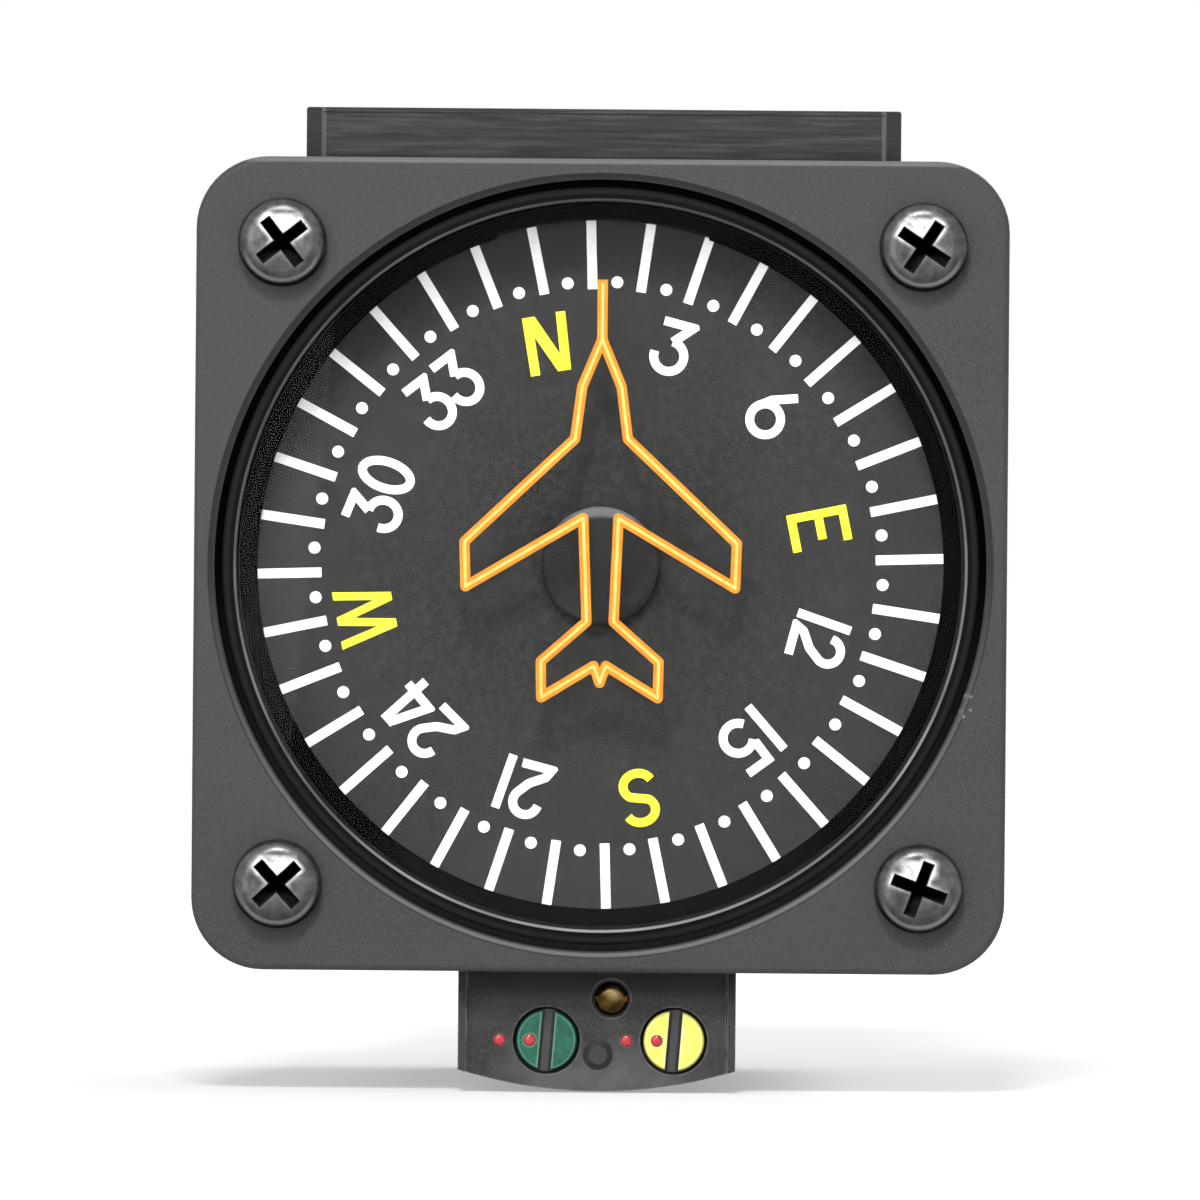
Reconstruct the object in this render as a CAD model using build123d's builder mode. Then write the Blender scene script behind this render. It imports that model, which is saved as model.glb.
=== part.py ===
# Panel-mounted vertical-card magnetic compass with a gear-driven dial and a two-screw compensator.
#
# Frame: millimetres, +Z up, +X to the pilot's right, and the pilot looks along +Y.
# The origin is on the dial axis, in the plane of the flange's rear seat, where the panel lies.
# Depths are y values: the flange stands in front of the panel at y < 0, the case runs back to y > 0.

import os
from math import acos, atan2, cos, pi, radians, sin, sqrt, tan

from build123d import *

os.makedirs("parts", exist_ok=True)

# Clearances
FIT = 0.05
PRESS_GAP = 0.01
THREAD_GAP = 0.02
RUNNING_GAP = 0.04
HOLE_GAP = 0.2
END_PLAY = 0.15
BOSS_INSET = 0.3

# Glass stack in the flange, from the front backwards
RECESS_DEPTH = 0.7
RING_T = 0.8
RING_W = 1.05
RING_CHAMFER = 0.25
GLASS_T = 1.5
GASKET_T = 0.5
GASKET_W = 1.2
MASK_T = 3.0
MASK_REAR_W = 1.45
MASK_FRONT_W = 0.45

# Dial and its chamber
DIAL_R = 26.0
DIAL_T = 0.7
DIAL_FRONT_GAP = 1.0
DIAL_REAR_GAP = 3.6
CHAMBER_GAP = 0.6
PARTITION_T = 1.8

# Flange
MASK_LEDGE = 0.3
GLASS_LEDGE = 1.0
OPENING_LEAD = 0.5
OPENING_CHAMFER = 0.5
FLANGE_RIM = 1.52
FLANGE_CORNER_R = 5.3
FLANGE_EDGE_R = 0.45
DRUM_WALL = 1.5

# Panel screws, number 6-32 by half an inch, with a neck that keeps them in the flange
SCREW_INSET = 6.35
SCREW_HOLE_R = 1.9
SCREW_NECK_R = 1.495
SCREW_THREAD_R = 1.753
SCREW_LENGTH = 12.7
SCREW_POINT = 0.4
SCREW_HEAD_R = 3.28
SCREW_HEAD_H = 2.0
SCREW_HEAD_ROUND = 1.15
CROSS_SPAN = 4.2
CROSS_W = 0.9
CROSS_DEPTH = 1.3
CROSS_TAPER = 12
# How far each screw was left turned: bottom left, top left, bottom right and top right
SCREW_TURNS = (42.5, 38.0, 69.5, 56.5)

# Case box behind the flange
STUD_ROOM = 2.97
CASE_WALL = 1.6
CASE_DEPTH = 52.0
CASE_FLOOR = 1.5
CASE_CORNER_R = 2.2
CASE_BOTTOM_INSET = 1.52
LAMP_FLOOR_DROP = 0.2
LAMP_FLOOR_T = 2.6
LAMP_BAY_H = 4.5
LAMP_BAY_WALL = 0.9
BOSS_R = 2.6
REAR_BOSS_L = 14.0

# Screws that close the case, and its rear cover and seal
REAR_SCREW_R = 1.25
REAR_SCREW_L = 8.0
REAR_HEAD_R = 2.3
REAR_HEAD_H = 1.4
REAR_HEAD_ROUND = 0.7
REAR_GASKET_T = 0.5
REAR_COVER_T = 2.0
REAR_PANEL_MARGIN = 6.5
REAR_PANEL_T = 0.6
REAR_EDGE_R = 0.5
SLOT_W = 0.6
SLOT_DEPTH = 0.7

# Top cover over the lamp bay
COVER_T = 1.0
COVER_SIDE_W = 1.2
COVER_SIDE_GAP = 0.15
COVER_SIDE_H = 6.3
COVER_FRONT = 0.1
COVER_LIP_T = 0.8
COVER_LIP_SET = 0.15
COVER_LIP_TOP = 0.3
COVER_EDGE_R = 0.2
PANEL_ROOM = 2.3
COVER_SCREW_R = 0.8
COVER_SCREW_L = 3.4
COVER_HEAD_R = 1.6
COVER_HEAD_H = 0.8
COVER_BOSS_R = 1.9

# Lamp, its light guide and its wiring
LAMP_GLASS_R = 1.45
LAMP_GLASS_L = 6.5
LAMP_BASE_R = 1.6
LAMP_BASE_L = 4.3
LAMP_GAP = 0.9
SOCKET_W = 7.0
SOCKET_L = 6.0
SOCKET_EDGE = 0.5
SOCKET_OVERLAP = 2.8
GUIDE_T = 1.1
GUIDE_W = 15.6
GUIDE_LIP = 0.15
LEAD_R = 0.45
LEAD_SPREAD = 1.2
LEAD_BOW = 1.3
TERMINAL_R = 0.9
TERMINAL_SPACING = 5.0
TERMINAL_INNER_L = 1.6
TERMINAL_OUTER_L = 1.6
TERMINAL_NUT_R = 1.7
TERMINAL_NUT_T = 1.0
TERMINAL_BLOCK_W = 14.0
TERMINAL_BLOCK_H = 3.6
TERMINAL_BLOCK_T = 2.5
TERMINAL_RIB_W = 0.8
TERMINAL_RIB_H = 1.4

# Movement frame, bushes and dial rotor
SHAFT_R = 0.8
PLATE_T = 2.0
PLATE_HALF_W = 13.0
PLATE_CORNER_R = 2.5
ARM_HALF_W = 6.5
ARM_T = 3.0
TOP_ARM_Z = 14.0
GUSSET = 5.0
GUSSET_W = 2.0
TUBE_R = 3.2
TUBE_NOSE = 1.4
BUSH_R = 2.0
BUSH_L = 3.0
CAP_R = 4.4
CAP_H = 0.9
CAP_ROUND = 0.35
HUB_R = 3.0
SPIGOT_R = 2.0
SPIGOT_L = 0.5
MITER_MODULE = 0.5
MITER_TEETH = 22
MITER_FACE = 2.4
MITER_RIM = 0.9
MITER_HUB_R = 2.2
MITER_HUB_L = 1.8
SHAFT_STUB = 0.3
MOVEMENT_SCREW_R = 1.0
MOVEMENT_SCREW_L = 5.2
MOVEMENT_HEAD_R = 1.9
MOVEMENT_HEAD_H = 1.1
MOVEMENT_SCREW_X = 10.5
MOVEMENT_SCREW_TOP = 13.0
MOVEMENT_SCREW_LOW = -17.0
MOVEMENT_BOSS_R = 2.4
MOVEMENT_BOSS_L = 2.5

# Compass magnet, its vertical shaft and the damping cup
MAGNET_R = 9.5
MAGNET_FORWARD = 1.05
MAGNET_EDGE = 0.5
MAGNET_DROP = 3.2
CARRIER_R = 2.0
CARRIER_FLANGE_R = 5.0
CARRIER_FLANGE_T = 1.0
CARRIER_COLLAR_L = 1.2
CUP_GAP = 0.9
CUP_WALL = 2.0
CUP_FLOOR_T = 1.4
CUP_FLOOR_GAP = 1.5
CUP_RIM_RISE = 1.2
CUP_EDGE_R = 0.8
JEWEL_SCREW_R = 1.6
JEWEL_STAND = 0.4
JEWEL_FLOOR_GAP = 0.6
JEWEL_CUP_R = 0.9
JEWEL_CUP_DEPTH = 1.0
PIVOT_H = 1.4
NUT_R = 2.6
NUT_T = 1.2

# Fixed aircraft figure behind the glass: half widths and heights from the dial axis
FIGURE_T = 0.2
FIGURE_INSET = 0.05
FIGURE_LINE = 0.75
FIGURE_NOSE_Z = 21.1
FIGURE_FORK_Z = 16.7
FIGURE_CHEEK = (1.45, 13.2)
FIGURE_WING_ROOT = (1.95, 9.35)
FIGURE_WING_LEAD = (10.05, 1.7)
FIGURE_WING_TRAIL = (9.95, -1.6)
FIGURE_WAIST = (1.3, 3.5)
FIGURE_TAIL_ROOT = (1.0, -4.15)
FIGURE_TAIL_LEAD = (4.35, -7.1)
FIGURE_TAIL_TRAIL = (4.3, -9.75)
FIGURE_TAIL_INNER = (0.45, -7.4)
FIGURE_TAIL_Z = -8.65

# Compensator block under the case
BLOCK_X = 0.0
BLOCK_HALF_W = 10.25
BLOCK_SIDE_H = 7.3
BLOCK_SAG = 1.55
BLOCK_CHEEK = 0.65
BLOCK_FLOOR = 0.8
BLOCK_REAR_WALL = 1.2
BLOCK_REAR_GAP = 4.3
FLANGE_GAP = 0.05
SEAT_MARGIN = 0.15
CHEEK_FRONT = -0.3
FACE_FRONT = 0.2
FACE_T = 2.4
GEAR_PLATE_T = 1.2
BEARING_PLATE_T = 1.2
BEARING_PLATE_GAP = 0.6
BEARING_TO_BOSS = 2.34

# Adjusters and their magnet wheels
GREEN_X = -3.7
YELLOW_INSET = 4.55
ADJUSTER_DROP = 5.1
ADJUSTER_HEAD_R = 2.3
ADJUSTER_HEAD_T = 1.1
ADJUSTER_HEAD_EDGE = 0.2
ADJUSTER_SINK = 0.05
ADJUSTER_SHAFT_R = 0.7
ADJUSTER_SLOT_W = 1.0
ADJUSTER_SLOT_DEPTH = 0.6
ADJUSTER_TURN = -4.5
ADJUSTER_STUB = 0.4
WASHER_T = 0.35
WASHER_R = 1.9
CLIP_R = 1.5
CLIP_T = 0.4
DOT_R = 0.45
DOT_DEPTH = 0.12
HEAD_DOT_OFFSET = 1.25
FACE_DOT_OFFSET = 3.5
WHEEL_MODULE = 0.3
PINION_TEETH = 10
PINION_RIM = 0.3
WHEEL_TEETH = 20
WHEEL_FACE = 0.9
WHEEL_RIM = 0.45
WHEEL_HUB_R = 1.1
WHEEL_HUB_L = 1.5
POST_R = 0.7
POST_HEAD_R = 1.15
POST_HEAD_T = 0.4
RING_MAGNET_R = 2.6
RING_MAGNET_T = 1.2

# Fasteners of the compensator
BRASS_X = 1.05
BRASS_DROP = 2.0
BRASS_HEAD_R = 1.25
BRASS_HEAD_T = 0.8
BRASS_SLOT_W = 0.35
BRASS_SLOT_DEPTH = 0.4
BRASS_SINK = 0.5
BRASS_SHANK_R = 0.7
BRASS_LENGTH = 5.0
BRASS_LUG_W = 4.0
BRASS_LUG_MARGIN = 1.0
RIVET_X = 0.1
RIVET_DROP = 6.15
RIVET_R = 0.7
RIVET_HEAD_R = 1.12
RIVET_HEAD_T = 0.3
RIVET_LENGTH = 4.6
RIVET_LUG_W = 3.6
RIVET_LUG_MARGIN = 0.8
UNIT_SCREW_X = 1.0
UNIT_SCREW_BACK = 9.0
UNIT_SCREW_R = 1.1
UNIT_SCREW_GRIP = 2.3
UNIT_HEAD_R = 1.9
UNIT_HEAD_T = 0.9
UNIT_HEAD_SINK = 1.2
UNIT_BOSS_WALL = 0.6

# Bevel teeth, in modules
ADDENDUM = 0.8
DEDENDUM = 1.15
TOOTH_SINK = 0.3
BACKLASH = 0.16
PRESSURE_ANGLE = 22

# Radii that follow from the dial
chamber_r = DIAL_R + CHAMBER_GAP
mask_bore_r = chamber_r + MASK_LEDGE
glass_bore_r = mask_bore_r + GLASS_LEDGE
opening_r = glass_bore_r + OPENING_LEAD
drum_r = mask_bore_r + DRUM_WALL
flange_half = opening_r + FLANGE_RIM
flange_clear = flange_half + FLANGE_GAP
screw_xy = flange_half - SCREW_INSET
box_half = screw_xy - STUD_ROOM
cavity_half = box_half - CASE_WALL

# Depths that follow from the glass stack, counted from the seat
glass_rear = -GASKET_T
glass_front = glass_rear - GLASS_T
ring_front = glass_front - RING_T
flange_front = ring_front - RECESS_DEPTH
dial_front = MASK_T + DIAL_FRONT_GAP
dial_rear = dial_front + DIAL_T
chamber_rear = dial_rear + DIAL_REAR_GAP
partition_rear = chamber_rear + PARTITION_T
cover_seat = CASE_DEPTH + REAR_GASKET_T
cover_rear = cover_seat + REAR_COVER_T

# Heights that follow
lamp_floor = drum_r - LAMP_FLOOR_DROP
case_top = lamp_floor + LAMP_BAY_H
cover_top = case_top + COVER_T
cavity_top = lamp_floor - LAMP_FLOOR_T
case_bottom = CASE_BOTTOM_INSET - flange_half
cavity_bottom = case_bottom + CASE_FLOOR
lamp_z = (lamp_floor + case_top) / 2
seat_z = -flange_clear
adjuster_z = seat_z - ADJUSTER_DROP

ALONG_Y = (0, 1, 0)
ALONG_Z = (0, 0, 1)
ORIGIN = (0, 0, 0)


def depth_plane(y):
    """The front-view plane at depth y. Its x and y run along X and Z, and a negative extrude goes back."""
    return Plane.XZ.offset(-y)


def save(piece, name):
    """Labels a finished piece and writes it to its own file."""
    piece.part.label = name
    export_step(piece.part, f"parts/{name}.step")


def turned(points, origin=ORIGIN, direction=ALONG_Y):
    """A turned solid from (radius, distance) points, on the axis through origin along direction."""
    side = Vector(1, 0, 0)
    plane = Plane(origin=origin, x_dir=side, z_dir=side.cross(Vector(*direction)))
    with BuildPart() as solid:
        with BuildSketch(plane):
            with BuildLine():
                Polyline(*points, close=True)
            make_face()
        revolve(axis=Axis(origin, direction))
    return solid.part


def rod(radius, start, end, origin=ORIGIN, direction=ALONG_Y, bore=0):
    """A round bar or tube between two distances along an axis."""
    return turned([(bore, start), (radius, start), (radius, end), (bore, end)], origin, direction)


def block(x_range, y_range, z_range):
    """A block between two values on each axis."""
    sizes = [high - low for low, high in (x_range, y_range, z_range)]
    with BuildPart() as solid:
        with Locations((x_range[0], y_range[0], z_range[0])):
            Box(*sizes, align=(Align.MIN, Align.MIN, Align.MIN))
    return solid.part


def slotted_screw(head_r, head_h, shank_r, length, rounding, slot_w=SLOT_W, slot_depth=SLOT_DEPTH):
    """A slotted screw along Z: the head stands from 0 to head_h, the shank goes down to -length."""
    with BuildPart() as screw:
        with BuildSketch():
            Circle(head_r)
        extrude(amount=head_h)
        fillet(screw.edges().group_by(Axis.Z)[-1], min(rounding, 0.9 * head_h))
        with BuildSketch(Plane.XY.offset(head_h)):
            Rectangle(3 * head_r, slot_w)
        extrude(amount=-min(slot_depth, 0.6 * head_h), mode=Mode.SUBTRACT)
        with BuildSketch():
            Circle(shank_r)
        extrude(amount=-length)
        chamfer(screw.edges().group_by(Axis.Z)[0], 0.25 * shank_r)
    return screw.part


def hex_nut(corner_r, thickness, bore_r):
    """A hexagon nut along Z, from 0 to its thickness."""
    with BuildPart() as nut:
        with BuildSketch():
            RegularPolygon(corner_r, 6)
            Circle(bore_r, mode=Mode.SUBTRACT)
        extrude(amount=thickness)
    return nut.part


def involute(angle):
    """How far an involute has turned at a pressure angle."""
    return tan(angle) - angle


def flank_point(rho, pitch, base, half_thickness):
    """(sideways, outward from the pitch line) on the flank of a spur tooth at radius rho."""
    at_rho = acos(min(1, base / rho))
    turn = half_thickness / pitch + involute(radians(PRESSURE_ANGLE)) - involute(at_rho)
    return rho * sin(turn), rho * cos(turn) - pitch


def bevel_size(module, teeth, mate_teeth, face):
    """Pitch radius, pitch angle, cone length and the small end's scale of a bevel gear."""
    pitch_r = module * teeth / 2
    pitch_angle = atan2(teeth, mate_teeth)
    cone = pitch_r / sin(pitch_angle)
    return pitch_r, pitch_angle, cone, (cone - face) / cone


def bevel_back(module, teeth, mate_teeth, rim):
    """Distance from the apex to the back of a bevel gear's rim."""
    _, pitch_angle, cone, _ = bevel_size(module, teeth, mate_teeth, 0)
    return cone * cos(pitch_angle) + DEDENDUM * module * sin(pitch_angle) + rim


def bevel_front(module, teeth, mate_teeth, face):
    """Distance from the apex to the inner face of a bevel gear's body."""
    small = bevel_size(module, teeth, mate_teeth, face)[3]
    return bevel_back(module, teeth, mate_teeth, 0) * small


def bevel_outer_r(module, teeth, mate_teeth):
    """Largest radius of a bevel gear, over its teeth."""
    pitch_r, pitch_angle, _, _ = bevel_size(module, teeth, mate_teeth, 0)
    return pitch_r + ADDENDUM * module * cos(pitch_angle)


def bevel_gear(module, teeth, mate_teeth, face, rim, hub_r, hub_l, bore_r, tooth_on_x):
    """A straight bevel gear of a right-angle pair, with its apex at the origin and its back towards +Z.

    A tooth lies over the local +X axis with tooth_on_x, and otherwise a gap does.
    """
    pitch_r, pitch_angle, cone, small = bevel_size(module, teeth, mate_teeth, face)
    virtual_pitch = pitch_r / cos(pitch_angle)
    virtual_base = virtual_pitch * cos(radians(PRESSURE_ANGLE))
    half_thickness = module * (pi / 2 - BACKLASH) / 2
    root_rho = virtual_pitch - DEDENDUM * module
    tip_rho = virtual_pitch + ADDENDUM * module
    radii = sorted({root_rho, max(root_rho, virtual_base), virtual_pitch, tip_rho})
    flank = [flank_point(rho, virtual_pitch, virtual_base, half_thickness) for rho in radii]
    foot = (flank[0][0], flank[0][1] - TOOTH_SINK * module)
    half = [foot] + flank
    outline = half + [(-x, y) for x, y in reversed(half)]
    pitch_point = Vector(pitch_r, 0, cone * cos(pitch_angle))
    inward = Vector(-sin(pitch_angle), 0, -cos(pitch_angle))
    root_x = pitch_r - DEDENDUM * module * cos(pitch_angle)
    root_z = bevel_back(module, teeth, mate_teeth, 0)
    back_z = root_z + rim
    blank = [
        (bore_r, root_z * small),
        (root_x * small, root_z * small),
        (root_x, root_z),
        (root_x, back_z),
    ]
    if hub_l > 0:
        blank += [(hub_r, back_z), (hub_r, back_z + hub_l)]
    blank += [(bore_r, back_z + hub_l)]
    with BuildPart() as tooth:
        with BuildSketch(Plane(origin=pitch_point, x_dir=(0, 1, 0), z_dir=inward)):
            Polygon(*outline, align=None)
        with BuildSketch(Plane(origin=pitch_point * small, x_dir=(0, 1, 0), z_dir=inward)):
            Polygon(*[(x * small, y * small) for x, y in outline], align=None)
        loft(ruled=True)
    with BuildPart() as gear:
        add(turned(blank, ORIGIN, ALONG_Z))
        with PolarLocations(0, teeth, start_angle=0 if tooth_on_x else 180 / teeth):
            add(tooth.part)
    return gear.part


# Case body: flange, dial drum, box, lamp bay and compensator seat in one moulding
screw_spots = [(sx * screw_xy, sz * screw_xy) for sx in (-1, 1) for sz in (-1, 1)]
rear_screw_x = box_half - BOSS_R - BOSS_INSET
rear_screw_low = case_bottom + BOSS_R + BOSS_INSET
rear_screw_top = cavity_top + CASE_WALL - BOSS_R - BOSS_INSET
rear_spots = [(sx * rear_screw_x, z) for sx in (-1, 1) for z in (rear_screw_low, rear_screw_top)]
movement_zs = (MOVEMENT_SCREW_LOW, MOVEMENT_SCREW_TOP)
movement_spots = [(sx * MOVEMENT_SCREW_X, z) for sx in (-1, 1) for z in movement_zs]
lip_front = COVER_FRONT + COVER_LIP_SET
lip_rear = lip_front + COVER_LIP_T
bay_step = lip_rear + FIT
bay_front = bay_step + LAMP_BAY_WALL
guide_front = bay_front + FIT
guide_rear = guide_front + GUIDE_T
guide_slot_half = GUIDE_W / 2 + FIT
cover_screw_x = box_half - COVER_BOSS_R - BOSS_INSET
cover_screw_ys = (guide_rear + COVER_BOSS_R, CASE_DEPTH - COVER_BOSS_R - BOSS_INSET)
cover_spots = [(sx * cover_screw_x, y) for sx in (-1, 1) for y in cover_screw_ys]
seat_half = BLOCK_HALF_W + SEAT_MARGIN
block_rear = CASE_DEPTH - BLOCK_REAR_GAP
unit_boss_r = UNIT_HEAD_R + FIT + UNIT_BOSS_WALL
unit_screw_front = FACE_FRONT + FACE_T + UNIT_SCREW_BACK
unit_screw_rear = block_rear - BLOCK_REAR_WALL - unit_boss_r + BOSS_INSET
unit_spots = [(UNIT_SCREW_X, y) for y in (unit_screw_front, unit_screw_rear)]
unit_screw_top = seat_z + UNIT_SCREW_GRIP
bore_steps = [
    (0, flange_front),
    (opening_r + OPENING_CHAMFER, flange_front),
    (opening_r, flange_front + OPENING_CHAMFER),
    (opening_r, ring_front),
    (glass_bore_r, ring_front),
    (glass_bore_r, 0),
    (mask_bore_r, 0),
    (mask_bore_r, MASK_T),
    (chamber_r, MASK_T),
    (chamber_r, chamber_rear),
    (0, chamber_rear),
]


def case_outline():
    """The case box as seen from the front, with rounded lower corners."""
    with BuildSketch() as outline:
        with Locations((0, (case_top + case_bottom) / 2)):
            Rectangle(2 * box_half, case_top - case_bottom)
        fillet(outline.vertices().group_by(Axis.Y)[0], CASE_CORNER_R)
    return outline.sketch


with BuildPart() as case_body:
    with BuildSketch(depth_plane(flange_front)):
        RectangleRounded(2 * flange_half, 2 * flange_half, FLANGE_CORNER_R)
    extrude(amount=flange_front)
    fillet(case_body.faces().sort_by(Axis.Y)[0].edges(), FLANGE_EDGE_R)
    with BuildSketch(depth_plane(0)):
        Circle(drum_r)
    extrude(amount=-partition_rear)
    with BuildSketch(depth_plane(0)):
        add(case_outline())
    extrude(amount=-CASE_DEPTH)
    # Seat for the compensator, clear of the panel
    seat_x = (BLOCK_X - seat_half, BLOCK_X + seat_half)
    add(block(seat_x, (PANEL_ROOM, block_rear), (seat_z, cavity_bottom)))
    # Step of the lamp bay's front wall above the flange, the movement cavity and the lamp bay
    step_y = (0, bay_step)
    cavity_x = (-cavity_half, cavity_half)
    add(block((-box_half, box_half), step_y, (flange_half, case_top)), mode=Mode.SUBTRACT)
    cavity_y = (partition_rear, CASE_DEPTH)
    add(block(cavity_x, cavity_y, (cavity_bottom, cavity_top)), mode=Mode.SUBTRACT)
    add(block(cavity_x, (bay_front, CASE_DEPTH), (lamp_floor, case_top)), mode=Mode.SUBTRACT)
    # Stepped bore for the ring, the glass, the mask and the dial
    add(turned(bore_steps), mode=Mode.SUBTRACT)
    # Screw bosses: movement, rear cover and top cover
    with BuildSketch(depth_plane(chamber_rear)):
        with Locations(*movement_spots):
            Circle(MOVEMENT_BOSS_R)
    extrude(amount=MOVEMENT_BOSS_L)
    with BuildSketch(depth_plane(CASE_DEPTH)):
        with Locations(*rear_spots):
            Circle(BOSS_R)
    extrude(amount=REAR_BOSS_L)
    with BuildSketch(Plane.XY.offset(lamp_floor)):
        with Locations(*cover_spots):
            Circle(COVER_BOSS_R)
    extrude(amount=LAMP_BAY_H)
    # Holes for the panel screws, the bearing tube and the screws
    with BuildSketch(depth_plane(0)):
        with Locations(*screw_spots):
            Circle(SCREW_HOLE_R)
    extrude(amount=-flange_front, mode=Mode.SUBTRACT)
    with BuildSketch(depth_plane(partition_rear)):
        Circle(TUBE_R + HOLE_GAP)
    extrude(amount=PARTITION_T, mode=Mode.SUBTRACT)
    with BuildSketch(depth_plane(partition_rear)):
        with Locations(*movement_spots):
            Circle(MOVEMENT_SCREW_R + THREAD_GAP)
    extrude(amount=MOVEMENT_SCREW_L - PLATE_T + HOLE_GAP, mode=Mode.SUBTRACT)
    with BuildSketch(depth_plane(CASE_DEPTH)):
        with Locations(*rear_spots):
            Circle(REAR_SCREW_R + THREAD_GAP)
    extrude(amount=REAR_SCREW_L, mode=Mode.SUBTRACT)
    with BuildSketch(Plane.XY.offset(case_top)):
        with Locations(*cover_spots):
            Circle(COVER_SCREW_R + THREAD_GAP)
    extrude(amount=-COVER_SCREW_L, mode=Mode.SUBTRACT)
    with BuildSketch(Plane.XY.offset(seat_z)):
        with Locations(*unit_spots):
            Circle(UNIT_SCREW_R + THREAD_GAP)
    extrude(amount=UNIT_SCREW_GRIP + THREAD_GAP, mode=Mode.SUBTRACT)
    # Light slot from the lamp bay into the dial chamber
    slot_x = (-guide_slot_half, guide_slot_half)
    add(block(slot_x, (bay_front, guide_rear + FIT), (0, lamp_floor)), mode=Mode.SUBTRACT)
save(case_body, "case_body")

# Retaining ring, glass, seal and mask
stack_r = glass_bore_r - FIT
ring_inner_r = stack_r - RING_W
with BuildPart() as retaining_ring:
    ring_profile = [
        (ring_inner_r, glass_front),
        (stack_r, glass_front),
        (stack_r, ring_front),
        (ring_inner_r + RING_CHAMFER, ring_front),
        (ring_inner_r, ring_front + RING_CHAMFER),
    ]
    add(turned(ring_profile))
save(retaining_ring, "retaining_ring")

with BuildPart() as front_glass:
    add(rod(stack_r, glass_front, glass_rear))
save(front_glass, "front_glass")

with BuildPart() as glass_gasket:
    add(rod(stack_r, glass_rear, 0, bore=stack_r - GASKET_W))
save(glass_gasket, "glass_gasket")

mask_r = mask_bore_r - FIT
mask_rear_r = mask_r - MASK_REAR_W
with BuildPart() as dial_mask:
    mask_profile = [
        (mask_r, 0),
        (mask_r, MASK_T),
        (mask_rear_r, MASK_T),
        (mask_r - MASK_FRONT_W, 0),
    ]
    add(turned(mask_profile))
    add(block(slot_x, (bay_front - FIT, MASK_T), (0, mask_r + FIT)), mode=Mode.SUBTRACT)
save(dial_mask, "dial_mask")

# Fixed aircraft figure: one line round the outline, with a single line for the nose
figure_side = [
    (0, FIGURE_FORK_Z),
    FIGURE_CHEEK,
    FIGURE_WING_ROOT,
    FIGURE_WING_LEAD,
    FIGURE_WING_TRAIL,
    FIGURE_WAIST,
    FIGURE_TAIL_ROOT,
    FIGURE_TAIL_LEAD,
    FIGURE_TAIL_TRAIL,
    FIGURE_TAIL_INNER,
    (0, FIGURE_TAIL_Z),
]
with BuildSketch() as figure_outline:
    with BuildLine():
        right_side = Polyline(*figure_side)
        mirror(right_side, about=Plane.YZ)
    make_face()
with BuildPart() as lubber_aircraft:
    with BuildSketch(depth_plane(glass_rear + FIGURE_INSET)):
        offset(figure_outline.sketch, amount=FIGURE_LINE / 2, mode=Mode.ADD)
        offset(figure_outline.sketch, amount=-FIGURE_LINE / 2, mode=Mode.SUBTRACT)
        with Locations((0, (FIGURE_NOSE_Z + FIGURE_FORK_Z) / 2)):
            Rectangle(FIGURE_LINE, FIGURE_NOSE_Z - FIGURE_FORK_Z)
    extrude(amount=-FIGURE_T)
save(lubber_aircraft, "lubber_aircraft")


def countersunk(gap):
    """A countersunk screw or, with a gap, the hole for it, along Z below its flush top."""
    head_r = COVER_HEAD_R + gap
    shank_r = COVER_SCREW_R + gap
    tip = -COVER_SCREW_L
    profile = [(0, 0), (head_r, 0), (shank_r, -COVER_HEAD_H), (shank_r, tip), (0, tip)]
    return turned(profile, ORIGIN, ALONG_Z)


# Top cover: over the lamp bay, with a front lip set back between its sides, and stepped clear of the panel
cover_side_in = box_half + COVER_SIDE_GAP
cover_side_out = cover_side_in + COVER_SIDE_W
cover_low = cover_top - COVER_SIDE_H
with BuildPart() as top_cover:
    sheet_x = (-cover_side_out, cover_side_out)
    add(block(sheet_x, (COVER_FRONT, CASE_DEPTH), (flange_clear, cover_top)))
    add(block(sheet_x, (PANEL_ROOM, CASE_DEPTH), (cover_low, flange_clear)))
    inner_x = (-cover_side_in, cover_side_in)
    add(block(inner_x, (lip_rear, CASE_DEPTH), (cover_low, case_top)), mode=Mode.SUBTRACT)
    lip_z = (flange_clear, cover_top - COVER_LIP_TOP)
    add(block(inner_x, (COVER_FRONT, lip_front), lip_z), mode=Mode.SUBTRACT)
    fillet(top_cover.edges().filter_by(Axis.Y).group_by(Axis.Z)[-1], COVER_EDGE_R)
    with Locations(*[(x, y, cover_top) for x, y in cover_spots]):
        add(countersunk(FIT), mode=Mode.SUBTRACT)
save(top_cover, "top_cover")

with BuildPart() as top_cover_screws:
    with Locations(*[(x, y, cover_top) for x, y in cover_spots]):
        add(countersunk(0))
    with BuildSketch(Plane.XY.offset(cover_top)):
        with Locations(*cover_spots):
            Rectangle(2 * COVER_HEAD_R, SLOT_W * COVER_HEAD_H)
    extrude(amount=-COVER_HEAD_H / 2, mode=Mode.SUBTRACT)
save(top_cover_screws, "top_cover_screws")

# Light guide from the lamp down to the edge of the mask
guide_tip_r = mask_rear_r + GUIDE_LIP
with BuildPart() as light_guide:
    with BuildSketch(depth_plane(guide_front)):
        with Locations((0, (case_top - FIT) / 2)):
            Rectangle(GUIDE_W, case_top - FIT)
        Circle(guide_tip_r, mode=Mode.SUBTRACT)
    extrude(amount=-GUIDE_T)
save(light_guide, "light_guide")

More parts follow.
